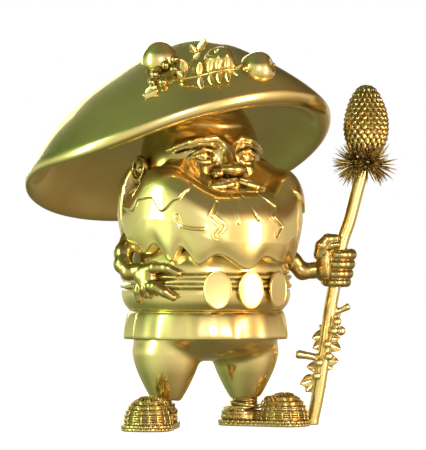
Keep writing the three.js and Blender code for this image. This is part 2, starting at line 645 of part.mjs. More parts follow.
// Staff with its twigs, pine cone, needles, berries and leaves
const shaft = solid(tube(staffPath, staffRadius, 22, 10));
const twigs = [
  [beside(81.5, staffBehind, 73.5), beside(87, staffBehind, 74.5), beside(93.6, staffBehind, 77.9)],
  [beside(75.6, staffBehind, 43), beside(68, staffBehind, 44.8), beside(60.2, staffBehind, 46.2)],
].map((points, number) => solid(tube(points, number ? 2.3 : 1.6, 3, 6)));
const coneFoot = beside(104.8, staffBehind, staffHeight + 3);
function conePin(grow) {
  const from = beside(staffAcross, staffBehind, staffHeight - 6 - grow);
  const to = beside(staffAcross, staffBehind, staffHeight + 20 + grow);
  return rodBetween(from, to, 1.5 + grow, 10);
}
const floorCut = solid(new THREE.BoxGeometry(300, 300, 20).translate(0, 0, -10));
addPiece('staff_shaft', cut(join([shaft, ...twigs]), [floorCut, solid(conePin(gap))]));

const coneProfile = [
  [0, 0], [0.5, 0.01], [0.84, 0.1], [0.98, 0.24], [1, 0.42], [0.96, 0.62], [0.83, 0.8], [0.55, 0.94], [0, 1],
].map(([radius, height]) => [radius * coneRadius, height * coneHeight]);
const cone = turned(coneProfile, 16).translate(coneFoot.x, coneFoot.y, coneFoot.z);
addPiece('pine_cone', cut(solid(cone), [solid(conePin(gap))]));
const collarFoot = staffHeight - 7;
const collarProfile = [
  [0, collarFoot], [6, collarFoot], [13.5, collarFoot + 5.6], [8, collarFoot + 9], [0, collarFoot + 9],
];
const collarPlace = beside(103.2, staffBehind, 0);
const collar = solid(turned(collarProfile, 14).translate(collarPlace.x, collarPlace.y, 0));
const shaftRoom = solid(tube(staffPath, staffRadius + gap, 22, 10));
const roomRadius = staffRadius + gap + 1;
const roomProfile = [
  [0, staffHeight - 1], [roomRadius, staffHeight - 1], [roomRadius, staffHeight + 18], [0, staffHeight + 18],
];
const aboveShaft = solid(turned(roomProfile, 10).translate(collarPlace.x, collarPlace.y, 0));
addPiece('needle_tuft', cut(collar, [shaftRoom, aboveShaft]));
addPiece('cone_pin', solid(conePin(0)), steelTone, 0.4);

const vinePath = [[84, 70], [82.4, 61.5], [79.4, 53], [77.4, 45], [74.6, 39.6], [72.2, 32]];
const vineBehind = staffBehind - staffRadius - gap - 1.6;
const vineStem = vinePath.map(([across, height]) => beside(across, vineBehind, height));
const vineParts = [solid(tube(vineStem, 0.9, 6, 5))];
const staffBerries = [
  [85, 67.5], [82.9, 61.5], [87.6, 61.5], [78.6, 53], [79.5, 45], [73.4, 40.8], [71.7, 32.3],
];
for (const [across, height] of staffBerries) {
  const middle = beside(across, vineBehind - 2.2, height);
  vineParts.push(solid(ball(6.2, 6.2, 6.2, 8, 5).translate(middle.x, middle.y, middle.z)));
}
const berryStem = [82.9, 87.6].map((across) => beside(across, vineBehind - 2.2, 61.5));
vineParts.push(solid(rodBetween(...berryStem, 0.7, 4)));
addPiece('staff_berries', join(vineParts));

const leavesBehind = staffBehind + staffRadius + gap + 1.2;
function leafFan(rib, blades) {
  const parts = blades.map(([across, height, tipAcross, tipHeight]) => (
    leafBlade(beside(across, leavesBehind, height), tipAcross - across, tipHeight - height, 4.4)));
  const [from, to] = rib.map(([across, height]) => beside(across, leavesBehind - 0.4, height));
  return join([solid(rodBetween(from, to, 0.7, 6)), ...parts]);
}
addPiece('staff_leaves_upper', leafFan([[82, 71], [77.6, 50]], [
  [81.6, 69, 81, 73.4], [81.6, 69, 88, 73], [81, 68, 77.6, 70.4], [80, 62, 74.6, 64], [79.4, 58, 70, 56.4],
  [78.6, 54, 70.6, 50], [78.6, 54, 87.6, 49], [79.4, 57, 87, 56],
]));
addPiece('staff_leaves_lower', leafFan([[77, 47], [71.4, 27]], [
  [76, 43, 86.4, 40.8], [75.4, 40, 82.4, 36.6], [75, 38, 66.4, 37.2], [74.6, 37, 79.8, 36.8],
  [72, 29.6, 62.6, 26.2], [72, 29.6, 66.2, 21.4], [72, 29.6, 71.4, 20], [72, 29.6, 78, 24],
]));

// Tie rod through trousers, torso and head into the hat, with its washer and nut
addPiece('tie_rod', solid(rodBetween(rodFoot, rodTop, rodRadius, 14)), steelTone, 0.4);
const washerThickness = 1.5;
const washerFloor = pocketRoof - gap - washerThickness;
function ring(radius, floor, height, sides) {
  const hole = (rodRadius + gap) / Math.cos(Math.PI / sides);
  const top = floor + height;
  const profile = [[hole, floor], [radius, floor], [radius, top], [hole, top], [hole, floor]];
  return solid(turned(profile, sides));
}
addPiece('tie_washer', ring(washerRadius, washerFloor, washerThickness, 16), steelTone, 0.4);
addPiece('tie_nut', ring(nutRadius, washerFloor - gap - nutHeight, nutHeight, 6), steelTone, 0.4);

// The origin is the middle of the footprint, on the surface it stands on.
figure.updateMatrixWorld(true);
const extent = new THREE.Box3().setFromObject(figure);
const middle = extent.getCenter(new THREE.Vector3());
figure.position.set(-middle.x, -middle.y, -extent.min.z);

export default figure;
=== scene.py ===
import math
import random

import bmesh
import bpy
import numpy as np
from mathutils import Euler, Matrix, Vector


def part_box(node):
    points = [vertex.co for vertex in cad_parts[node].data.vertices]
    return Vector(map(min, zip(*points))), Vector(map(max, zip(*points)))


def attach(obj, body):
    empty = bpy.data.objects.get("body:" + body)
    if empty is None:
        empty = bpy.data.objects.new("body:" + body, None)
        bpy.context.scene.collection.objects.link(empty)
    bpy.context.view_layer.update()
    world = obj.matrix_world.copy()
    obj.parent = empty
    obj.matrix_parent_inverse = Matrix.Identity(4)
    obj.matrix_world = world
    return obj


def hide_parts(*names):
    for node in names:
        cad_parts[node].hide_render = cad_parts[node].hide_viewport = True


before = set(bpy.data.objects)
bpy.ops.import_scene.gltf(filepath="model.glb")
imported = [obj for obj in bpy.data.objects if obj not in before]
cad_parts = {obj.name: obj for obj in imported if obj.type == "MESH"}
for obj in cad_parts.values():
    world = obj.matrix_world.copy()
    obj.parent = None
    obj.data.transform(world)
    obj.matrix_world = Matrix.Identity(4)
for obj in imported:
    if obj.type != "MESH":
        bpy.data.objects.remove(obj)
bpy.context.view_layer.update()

random.seed(7)

# The pieces are worked out in millimetres about the figure's own upright axis, which is the tie rod's.
rodLow, rodHigh = [Vector(corner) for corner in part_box("tie_rod")]
axisX = (rodLow.x + rodHigh.x) / 2
axisY = (rodLow.y + rodHigh.y) / 2
fineness = 1.0        # grid steps are this many times longer while trying things


def toFrame(points):
    places = np.asarray(points, dtype=float) / 1000
    return places + np.array([axisX, axisY, 0.0])


turn30 = math.radians(30)


def spot(across, behind, height):
    # a place in the upright plane turned 30 degrees from the shoulders, as the staff and arms lie
    x = across * math.cos(turn30) + behind * math.sin(turn30)
    y = behind * math.cos(turn30) - across * math.sin(turn30)
    return np.array([x, y, height])


# Materials: a socket wrapper that adds nodes as expressions are written

def inUse(sockets, name):
    # a node keeps a hidden socket of the same name for each data type
    return next(socket for socket in sockets if socket.name == name and socket.enabled)


class Wire:
    def __init__(self, tree, socket):
        self.tree = tree
        self.socket = socket

    def node(self, kind, settings=None, inputs=None, output=0):
        made = self.tree.nodes.new(kind)
        for name, value in (settings or {}).items():
            if name == "stops":
                ramp = made.color_ramp
                while len(ramp.elements) < len(value):
                    ramp.elements.new(0.5)
                for element, (place, colour) in zip(ramp.elements, value):
                    element.position = place
                    element.color = colour
            else:
                setattr(made, name, value)
        for key, value in (inputs or {}).items():
            target = made.inputs[key] if isinstance(key, int) else inUse(made.inputs, key)
            if isinstance(value, Wire):
                self.tree.links.new(value.socket, target)
            else:
                target.default_value = value
        if not len(made.outputs):
            return Wire(self.tree, None)
        return Wire(self.tree, made.outputs[output] if isinstance(output, int) else inUse(made.outputs, output))

    def maths(self, operation, first, second=None):
        inputs = {0: first}
        if second is not None:
            inputs[1] = second
        return self.node("ShaderNodeMath", {"operation": operation}, inputs)

    def __add__(self, other):
        return self.maths("ADD", self, other)

    def __radd__(self, other):
        return self.maths("ADD", other, self)

    def __sub__(self, other):
        return self.maths("SUBTRACT", self, other)

    def __rsub__(self, other):
        return self.maths("SUBTRACT", other, self)

    def __mul__(self, other):
        return self.maths("MULTIPLY", self, other)

    def __rmul__(self, other):
        return self.maths("MULTIPLY", other, self)

    def __truediv__(self, other):
        return self.maths("DIVIDE", self, other)

    def __pow__(self, other):
        return self.maths("POWER", self, other)


def newTree(name):
    material = bpy.data.materials.new(name)
    material.use_nodes = True
    material.node_tree.nodes.clear()
    return material, Wire(material.node_tree, None)


def makeBrass(name, finish):
    # two layers of gloss, as on lacquered polished brass: a sharp one over a broad satin one
    material, start = newTree(name)
    coords = start.node("ShaderNodeTexCoord", output="Object")
    cloud = start.node("ShaderNodeTexNoise", inputs={
        "Vector": coords, "Scale": finish["cloudScale"], "Detail": 3.0})
    hairline = start.node("ShaderNodeTexNoise", inputs={
        "Vector": coords, "Scale": finish["hairScale"], "Detail": 2.0})
    colour = start.node("ShaderNodeValToRGB", {"stops": finish["tones"]}, {"Fac": cloud})
    ripple = start.node("ShaderNodeBump", inputs={
        "Strength": finish["ripple"], "Distance": 0.0004, "Height": cloud * 0.8 + hairline * 0.2})
    layers = []
    for roughness, spread in ((finish["sharp"], 0.03), (finish["broad"], 0.08)):
        layers.append(start.node("ShaderNodeBsdfPrincipled", inputs={
            "Base Color": colour, "Metallic": 1.0, "Roughness": hairline * spread + (roughness - spread / 2),
            "Normal": ripple}))
    mixed = start.node("ShaderNodeMixShader", inputs={0: finish["satinShare"], 1: layers[0], 2: layers[1]})
    start.node("ShaderNodeOutputMaterial", inputs={"Surface": mixed})
    return material


brassFinish = {
    "cloudScale": 28.0, "hairScale": 420.0, "ripple": 0.05, "sharp": 0.11, "broad": 0.34, "satinShare": 0.45,
    "tones": [(0.3, (0.70, 0.56, 0.25, 1)), (0.7, (0.80, 0.67, 0.34, 1))],
}
brass = makeBrass("polishedBrass", brassFinish)
# a darker copy of the brass whose lower tones are painted shade, for pieces that sit in shadow and dark
# reflections
shadeBrass = makeBrass("paintedShadeBrass", {**brassFinish, "sharp": 0.14, "satinShare": 0.5,
                                        "tones": [(0.3, (0.40, 0.30, 0.12, 1)), (0.7, (0.52, 0.41, 0.18, 1))]})


def makeSteel():
    material, start = newTree("platedSteel")
    coords = start.node("ShaderNodeTexCoord", output="Object")
    stretched = start.node("ShaderNodeMapping", inputs={"Vector": coords, "Scale": (900.0, 900.0, 60.0)})
    grain = start.node("ShaderNodeTexNoise", inputs={"Vector": stretched, "Scale": 1.0, "Detail": 3.0})
    greys = [(0.3, (0.5, 0.5, 0.5, 1)), (0.7, (0.66, 0.66, 0.64, 1))]
    tone = start.node("ShaderNodeValToRGB", {"stops": greys}, {"Fac": grain})
    bump = start.node("ShaderNodeBump", inputs={"Strength": 0.15, "Distance": 0.0002, "Height": grain})
    shader = start.node("ShaderNodeBsdfPrincipled", inputs={
        "Base Color": tone, "Metallic": 1.0, "Roughness": grain * 0.2 + 0.28, "Normal": bump})
    start.node("ShaderNodeOutputMaterial", inputs={"Surface": shader})
    return material


steel = makeSteel()
print("materials made")

# Making meshes


# the pieces that get the darker brass as painted shade
shadedPieces = ("head", "nose", "ear", "shoe", "ankleWrap", "pineCone", "needleTuft", "arm", "hand",
                  "hatBerries", "hatMushroomStem", "appleStalk")


def brassFor(name):
    # painted shade: pieces under the hat, in hollows or among fine detail take a darker brass that stands in
    # for the shadow and dark reflections they sit in
    return shadeBrass if name.startswith(shadedPieces) else brass


def addPiece(name, points, faces, nodes, body="figure", material=None, smooth=True):
    mesh = bpy.data.meshes.new(name)
    mesh.from_pydata(toFrame(points).tolist(), [], [list(map(int, face)) for face in faces])
    mesh.validate()
    mesh.materials.append(material or brassFor(name))
    mesh.polygons.foreach_set("use_smooth", [smooth] * len(mesh.polygons))
    piece = bpy.data.objects.new(name, mesh)
    bpy.context.scene.collection.objects.link(piece)
    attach(piece, body)
    if nodes:
        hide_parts(*nodes)
    return piece


def smoothCurve(points, count):
    # a Catmull-Rom curve through the points, spaced evenly along its length
    knots = np.asarray(points, dtype=float)
    padded = np.vstack([2 * knots[0] - knots[1], knots, 2 * knots[-1] - knots[-2]])
    samples = []
    for index in range(len(knots) - 1):
        before, start, end, after = padded[index:index + 4]
        for t in np.linspace(0, 1, 24, endpoint=False):
            samples.append(0.5 * (2 * start + (end - before) * t
                                  + (2 * before - 5 * start + 4 * end - after) * t ** 2
                                  + (3 * start - before - 3 * end + after) * t ** 3))
    samples.append(knots[-1])
    samples = np.array(samples)
    lengths = np.concatenate([[0], np.cumsum(np.linalg.norm(np.diff(samples, axis=0), axis=1))])
    even = np.linspace(0, lengths[-1], count)
    return np.stack([np.interp(even, lengths, samples[:, axis]) for axis in range(knots.shape[1])], axis=1)


def turnedMesh(profile, segments):
    # profile runs from the lower end of the axis to its upper end, or closes on itself off the axis
    profile = np.asarray(profile, dtype=float)
    onAxis = profile[0, 0] < 1e-6
    rings = profile[1:-1] if onAxis else profile[:-1]
    angles = np.linspace(0, 2 * math.pi, segments, endpoint=False)
    points = [(r * math.cos(a), r * math.sin(a), z) for r, z in rings for a in angles]
    faces = []
    ringCount = len(rings)
    for ring in range(ringCount - 1 if onAxis else ringCount):
        after = (ring + 1) % ringCount
        for step in range(segments):
            nxt = (step + 1) % segments
            faces.append((ring * segments + step, ring * segments + nxt,
                          after * segments + nxt, after * segments + step))
    if onAxis:
        low = len(points)
        points += [(0, 0, profile[0, 1]), (0, 0, profile[-1, 1])]
        last = (ringCount - 1) * segments
        for step in range(segments):
            nxt = (step + 1) % segments
            faces.append((low, nxt, step))
            faces.append((low + 1, last + step, last + nxt))
    return np.array(points), faces


def slabMesh(cols, rows, layers, place):
    # a closed slab of cols x rows x layers cells, each corner put by place(across, up, out)
    index = {}
    points = []

    def corner(i, j, k):
        key = (i, j, k)
        if key not in index:
            index[key] = len(points)
            points.append(place(i / cols, j / rows, k / layers))
        return index[key]

    faces = []
    for i in range(cols):
        for j in range(rows):
            faces.append((corner(i, j, 0), corner(i, j + 1, 0), corner(i + 1, j + 1, 0), corner(i + 1, j, 0)))
            faces.append((corner(i, j, layers), corner(i + 1, j, layers), corner(i + 1, j + 1, layers),
                          corner(i, j + 1, layers)))
    for i in range(cols):
        for k in range(layers):
            faces.append((corner(i, 0, k), corner(i + 1, 0, k), corner(i + 1, 0, k + 1), corner(i, 0, k + 1)))
            faces.append((corner(i, rows, k), corner(i, rows, k + 1), corner(i + 1, rows, k + 1),
                          corner(i + 1, rows, k)))
    for j in range(rows):
        for k in range(layers):
            faces.append((corner(0, j, k), corner(0, j, k + 1), corner(0, j + 1, k + 1), corner(0, j + 1, k)))
            faces.append((corner(cols, j, k), corner(cols, j + 1, k), corner(cols, j + 1, k + 1),
                          corner(cols, j, k + 1)))
    return np.array(points), faces


# Distance fields: negative inside, joined and cut with soft seams, then skinned with quads

def egg(p, centre, radii, tilt=None):
    q = p - np.asarray(centre)
    if tilt is not None:
        q = q @ tilt
    radii = np.asarray(radii, dtype=float)
    near = np.linalg.norm(q / radii, axis=1)
    far = np.linalg.norm(q / radii ** 2, axis=1) + 1e-9
    return near * (near - 1) / far


def limb(p, points, radii, melt=0.0):
    knots = [np.asarray(point, dtype=float) for point in points]
    if np.isscalar(radii):
        radii = [radii] * len(knots)
    best = None
    for start, end, fromRadius, toRadius in zip(knots, knots[1:], radii, radii[1:]):
        reach = end - start
        t = np.clip((p - start) @ reach / (reach @ reach), 0, 1)
        width = fromRadius + t * (toRadius - fromRadius)
        distance = np.linalg.norm(p - start - t[:, None] * reach, axis=1) - width
        best = distance if best is None else blend(best, distance, melt)
    return best


def blend(first, second, seam):
    if seam <= 0:
        return np.minimum(first, second)
    h = np.clip(0.5 + 0.5 * (second - first) / seam, 0, 1)
    return second * (1 - h) + first * h - seam * h * (1 - h)


def overlap(first, second, seam):
    return -blend(-first, -second, seam)


def carve(body, tool, seam):
    return overlap(body, -tool, seam)


def tiltMatrix(aboutX=0.0, aboutY=0.0, aboutZ=0.0):
    return np.array(Euler([math.radians(a) for a in (aboutX, aboutY, aboutZ)]).to_matrix())


def skin(field, low, high, step, relaxRounds=3):
    step = step * fineness
    axes = [np.arange(a, b + step, step) for a, b in zip(low, high)]
    grid = np.stack(np.meshgrid(*axes, indexing="ij"), axis=-1)
    shape = grid.shape[:3]
    value = field(grid.reshape(-1, 3)).reshape(shape)
    inside = value < 0
    cells = tuple(n - 1 for n in shape)

    def part(array, offset):
        return array[tuple(slice(start, start + size) for start, size in zip(offset, cells))]

    offsets = [(i, j, k) for i in (0, 1) for j in (0, 1) for k in (0, 1)]
    count = sum(part(inside, offset).astype(int) for offset in offsets)
    active = (count > 0) & (count < 8)
    total = np.zeros(cells + (3,))
    hits = np.zeros(cells)
    for offset in offsets:
        for axis in range(3):
            if offset[axis]:
                continue
            other = tuple(offset[n] + (1 if n == axis else 0) for n in range(3))
            a, b = part(value, offset), part(value, other)
            crossed = (a < 0) != (b < 0)
            t = np.where(crossed, a / np.where(crossed, a - b, 1), 0)
            for n in range(3):
                total[..., n] += np.where(crossed, offset[n] + (t if n == axis else 0), 0)
            hits += crossed
    where = np.argwhere(active)
    number = -np.ones(cells, dtype=int)
    number[active] = np.arange(len(where))
    points = (where + total[active] / hits[active][:, None]) * step + np.asarray([axis[0] for axis in axes])
    quads = []
    for axis in range(3):
        first, second = [(1, 2), (2, 0), (0, 1)][axis]
        lowSide = [slice(1, n - 1) for n in shape]
        lowSide[axis] = slice(0, shape[axis] - 1)
        highSide = list(lowSide)
        highSide[axis] = slice(1, shape[axis])
        a, b = inside[tuple(lowSide)], inside[tuple(highSide)]
        for sign, mask in ((True, a & ~b), (False, ~a & b)):
            spots = np.argwhere(mask)
            spots[:, first] += 1
            spots[:, second] += 1
            corners = []
            for da, db in ((-1, -1), (0, -1), (0, 0), (-1, 0)):
                cell = spots.copy()
                cell[:, first] += da
                cell[:, second] += db
                corners.append(number[cell[:, 0], cell[:, 1], cell[:, 2]])
            quad = np.stack(corners, axis=1)
            quads.append(quad if sign else quad[:, ::-1])
    quads = np.concatenate(quads)
    quads = quads[(quads >= 0).all(axis=1)]
    edges = np.concatenate([quads[:, [n, (n + 1) % 4]] for n in range(4)])
    for _ in range(relaxRounds):
        sums = np.zeros_like(points)
        for n in range(3):
            sums[:, n] = np.bincount(edges[:, 0], points[edges[:, 1], n], len(points))
            sums[:, n] += np.bincount(edges[:, 1], points[edges[:, 0], n], len(points))
        degree = np.bincount(edges.ravel(), minlength=len(points))
        points = points * 0.4 + 0.6 * sums / np.maximum(degree, 1)[:, None]
        for _ in range(2):
            points = toSurface(field, points, step)
    return points, quads


def toSurface(field, points, step):
    reach = 0.25 * step
    height = field(points)
    slope = np.stack([(field(points + d) - field(points - d)) / (2 * reach) for d in np.eye(3) * reach], axis=1)
    size = np.maximum((slope ** 2).sum(axis=1), 0.15)
    move = -(height / size)[:, None] * slope
    length = np.linalg.norm(move, axis=1)
    return points + move * np.minimum(1, 0.7 * step / np.maximum(length, 1e-9))[:, None]


def ease(value, low, high):
    t = np.clip((value - low) / (high - low), 0, 1)
    return t * t * (3 - 2 * t)


def smoothStepCurve(table, value):
    # rounded scallops: a cosine ease between each tip and notch
    keys = np.array([row[0] for row in table], dtype=float)
    heights = np.array([row[1] for row in table], dtype=float)
    index = np.clip(np.searchsorted(keys, value) - 1, 0, len(keys) - 2)
    t = np.clip((value - keys[index]) / (keys[index + 1] - keys[index]), 0, 1)
    t = 0.5 - 0.5 * np.cos(np.pi * t)
    return heights[index] * (1 - t) + heights[index + 1] * t


# Camera, light and floor

studio = {
    "distance": 1610.0, "eyeHeight": 98.0, "lens": 200.0, "aimAcross": 4.5, "aimHeight": 130.0,
    "sensorWidth": 36.0, "farthest": 20, "lampAimHeight": 120, "floorRadius": 6, "floorDrop": 0.0005,
    "white": (1.0, 0.97, 0.88), "green": (0.66, 1.0, 0.50), "orange": (1.0, 0.58, 0.30),
}


def buildStudio():
    aim = Vector(toFrame(spot(studio["aimAcross"], 0, studio["aimHeight"])))
    eye = Vector(toFrame(spot(studio["aimAcross"], -studio["distance"], studio["eyeHeight"])))
    lens = bpy.data.cameras.new("camera")
    lens.lens = studio["lens"]
    lens.sensor_width = studio["sensorWidth"]
    lens.clip_end = studio["farthest"]
    camera = bpy.data.objects.new("camera", lens)
    camera.location = eye
    camera.rotation_euler = (aim - eye).to_track_quat("-Z", "Y").to_euler()
    bpy.context.scene.collection.objects.link(camera)
    bpy.context.scene.camera = camera

    lampAim = Vector(toFrame((0, 0, studio["lampAimHeight"])))

    def softbox(name, across, behind, height, width, tall, power, colour):
        light = bpy.data.lights.new(name, "AREA")
        light.shape = "RECTANGLE"
        light.size = width
        light.size_y = tall
        light.energy = power
        light.color = colour
        lamp = bpy.data.objects.new(name, light)
        lamp.location = Vector(toFrame(spot(across, behind, height)))
        lamp.rotation_euler = (lampAim - lamp.location).to_track_quat("-Z", "Y").to_euler()
        bpy.context.scene.collection.objects.link(lamp)

    softbox("leftLight", -950, -420, 330, 0.34, 0.75, 7.5, studio["green"])
    softbox("rightLight", 820, -560, 150, 0.34, 0.55, 7.5, studio["orange"])
    softbox("frontLight", 210, -1250, 330, 0.34, 0.16, 5.5, studio["white"])
    softbox("backLight", -300, 900, 500, 0.8, 0.6, 4, studio["white"])

    world = bpy.data.worlds.new("room")
    world.use_nodes = True
    world.node_tree.nodes.clear()
    start = Wire(world.node_tree, None)
    direction = start.node("ShaderNodeTexCoord", output="Generated")
    parts = direction.tree.nodes.new("ShaderNodeSeparateXYZ")
    direction.tree.links.new(direction.socket, parts.inputs[0])
    x, y, z = [Wire(world.node_tree, parts.outputs[n]) for n in range(3)]
    rightness = x * math.cos(turn30) - y * math.sin(turn30)
    sides = start.node("ShaderNodeValToRGB", {"stops": [
        (0.0, (0.07, 0.18, 0.05, 1)), (0.5, (0.01, 0.01, 0.005, 1)), (1.0, (0.17, 0.075, 0.03, 1))]},
        {"Fac": rightness * 0.5 + 0.5})
    above = [(0.66, (0.03, 0.026, 0.01, 1)), (0.76, (0.06, 0.06, 0.025, 1)), (0.9, (0.17, 0.18, 0.10, 1)),
             (1.0, (0.19, 0.20, 0.12, 1))]
    behind = start.node("ShaderNodeValToRGB", {"stops": [
        (0.0, (0.17, 0.16, 0.085, 1)), (0.25, (0.17, 0.155, 0.08, 1)), (0.40, (0.36, 0.34, 0.22, 1)),
        (0.47, (0.70, 0.68, 0.52, 1)), (0.55, (0.60, 0.57, 0.42, 1)), *above]}, {"Fac": z * 0.5 + 0.5})
    before = start.node("ShaderNodeValToRGB", {"stops": [
        (0.0, (0.14, 0.13, 0.06, 1)), (0.12, (0.40, 0.37, 0.22, 1)), (0.26, (0.84, 0.79, 0.54, 1)),
        (0.47, (0.92, 0.87, 0.64, 1)), (0.62, (0.90, 0.84, 0.60, 1)), (0.72, (0.55, 0.48, 0.30, 1)),
        (0.80, (0.08, 0.07, 0.03, 1)), *above[2:]]}, {"Fac": z * 0.5 + 0.5})
    depth = x * math.sin(turn30) + y * math.cos(turn30)
    nearer = start.node("ShaderNodeMapRange", inputs={0: depth, 1: 0.3, 2: -0.4, 3: 0.0, 4: 1.0})
    heights = start.node("ShaderNodeMix", {"data_type": "RGBA"}, {0: nearer, 6: behind, 7: before}, output=2)
    room = start.node("ShaderNodeMix", {"data_type": "RGBA", "blend_type": "ADD"},
                      {0: 1.0, 6: heights, 7: sides}, output=2)
    seen = start.node("ShaderNodeLightPath")
    shown = start.node("ShaderNodeMix", {"data_type": "RGBA"}, {0: seen, 6: room, 7: (1.0, 1.0, 1.0, 1)},
                       output=2)
    sky = start.node("ShaderNodeBackground", inputs={"Color": shown, "Strength": 1.0})
    start.node("ShaderNodeOutputWorld", inputs={"Surface": sky})
    bpy.context.scene.world = world
    bpy.context.scene.view_settings.view_transform = "Standard"

    floorMaterial, wire = newTree("paleFloor")
    coords = wire.node("ShaderNodeTexCoord", output="Object")
    grain = wire.node("ShaderNodeTexNoise", inputs={"Vector": coords, "Scale": 40.0})
    paint = wire.node("ShaderNodeBsdfPrincipled", inputs={
        "Base Color": (0.5, 0.5, 0.5, 1), "Roughness": grain * 0.05 + 0.7,
        "Emission Color": (1, 1, 1, 1), "Emission Strength": 0.93})
    wire.node("ShaderNodeOutputMaterial", inputs={"Surface": paint})
    bpy.ops.mesh.primitive_circle_add(vertices=64, radius=studio["floorRadius"], fill_type="NGON",
                                      location=(axisX, axisY, -studio["floorDrop"]))
    floor = bpy.context.object
    floor.name = "floor"
    floor.data.materials.append(floorMaterial)
    floor.visible_glossy = False


buildStudio()
print("studio built")

# Hat: a mushroom cap whose brim slopes down to the back and sags over the right cheek

hat = {
    "radius": 102.0, "crown": 66.0, "thickness": 10.0, "setBack": 36.0, "height": 178.4, "slope": 0.42,
    "droop": (16.0, -58.0, 36.0), "frontSag": (8.0, -12.0, 36.0), "swell": (27.0, -118.0, 48.0), "tilt": 0.035,
    "squash": 0.922,
    "top": [(0.98, 0.07), (0.88, 0.235), (0.716, 0.46), (0.525, 0.69), (0.412, 0.815), (0.294, 0.92),
            (0.147, 0.985), (0, 1)],
    "under": [(0, 1.7), (0.35, 1.55), (0.6, 1.1), (0.8, 0.3), (0.93, -0.6), (0.985, -0.45)],
}


def bell(degrees, wave):
    amount, middle, width = wave
    apart = (degrees - middle + 540) % 360 - 180
    return amount * np.exp(-(apart / width) ** 2)


def placeOnHat(points):
    # the round hat leans back, sags in front and at the right cheek, and swells behind the right ear
    x, y, z = points[:, 0], points[:, 1], points[:, 2]
    reach = np.minimum(np.hypot(x, y) / hat["radius"], 1)
    degrees = np.degrees(np.arctan2(x, -y))
    sag = bell(degrees, hat["droop"]) * reach ** 1.9 + bell(degrees, hat["frontSag"]) * reach ** 3
    swell = bell(degrees, hat["swell"]) * 4 * reach ** 3 * (1 - reach)
    back = y * hat["squash"]
    lifted = z + hat["height"] + hat["tilt"] * x - hat["slope"] * back - sag + swell
    return np.stack([x, back + hat["setBack"], lifted], axis=1)


def onHat(across, behind, lift):
    # a place at a height over the hat's upper surface
    place = spot(across, behind, 0)
    radial = np.array([[place[0], (place[1] - hat["setBack"]) / hat["squash"], 0.0]])
    reach = min(float(np.hypot(radial[0, 0], radial[0, 1])) / hat["radius"], 1)
    shares, heights = zip(*sorted(hat["top"] + [(1.0, 0.0)]))
    radial[0, 2] = hat["crown"] * np.interp(reach, shares, heights) + lift
    return placeOnHat(radial)[0]


def buildHat():
    under = [(r * hat["radius"], z * hat["thickness"]) for r, z in hat["under"]]
    top = [(r * hat["radius"], z * hat["crown"]) for r, z in hat["top"]]
    profile = smoothCurve(under + [(hat["radius"], 0)] + top, 150)
    profile[0, 0] = profile[-1, 0] = 0
    points, faces = turnedMesh(profile, 220)
    addPiece("hatCap", placeOnHat(points), faces, ["hat"])


buildHat()
print("hat made")

# Torso, belt, plates and tunic skirt

body = {"radius": 52.0, "floor": 75.0, "top": 136.0, "hemFloor": 57.0, "beltFloor": 89.4, "beltHeight": 8.6,
        "beltOuter": 55.1, "discWidth": 18.0, "discHeight": 24.0, "discThickness": 1.8}


def buildTorso():
    r = body["radius"]
    low, high = body["beltFloor"], body["beltFloor"] + body["beltHeight"]
    belly = smoothCurve([(r - 2.6, body["floor"] + 0.3), (r + 0.8, 80), (r + 2.2, 85), (r + 1.9, low - 0.8)],
                        24)
    chest = smoothCurve([(r + 1.5, high + 0.8), (r + 0.8, 104), (r - 3, 113), (r - 10, 126),
                         (r - 22, body["top"])], 36)
    seat = [(r, low - 0.2), (r, high + 0.2)]
    profile = [(0, body["floor"] + 0.3), (r - 8, body["floor"] + 0.3), *belly.tolist(), *seat, *chest.tolist(),
               (0, body["top"])]
    points, faces = turnedMesh(profile, 160)
    addPiece("torsoShell", points, faces, ["torso"])


def buildBelt():
    inner = body["radius"] + 0.15
    outer = body["beltOuter"]
    low = body["beltFloor"]
    tall = body["beltHeight"]
    half = [(inner, low), (outer - 0.9, low), (outer - 0.1, low + 0.5), (outer, low + 1.4),
            (outer - 0.1, low + 2.3), (outer - 1.2, low + 3.1), (outer - 1.5, low + 3.7),
            (outer - 1.5, low + tall / 2)]
    upper = [(radius, 2 * low + tall - height) for radius, height in half[-2::-1]]
    profile = [*half, *upper, (inner, low)]
    points, faces = turnedMesh(profile, 160)
    addPiece("beltBand", points, faces, ["belt"])


def buildDiscs():
    for number, degrees in enumerate((-22.5, 0, 24)):
        angle = math.radians(degrees)
        stand = body["beltOuter"] + 0.3
        thick = body["discThickness"]
        outline = [(0, 0), (0.94, 0), (0.98, 0.2), (1, 0.5), (0.985, 0.9), (0.95, 1), (0.91, 1.0),
                   (0.885, 0.86), (0.86, 0.84), (0, 0.87)]
        points, faces = turnedMesh(outline, 96)
        shaped = []
        for x, y, z in points:
            across = x * body["discWidth"] / 2
            height = y * body["discHeight"] / 2 + body["beltFloor"] - 0.9
            out = stand + z * thick
            shaped.append((across * math.cos(angle) + out * math.sin(angle),
                           across * math.sin(angle) - out * math.cos(angle), height))
        addPiece(f"beltPlate{number + 1}", np.array(shaped), faces, [f"belt_disc_{number + 1}"])


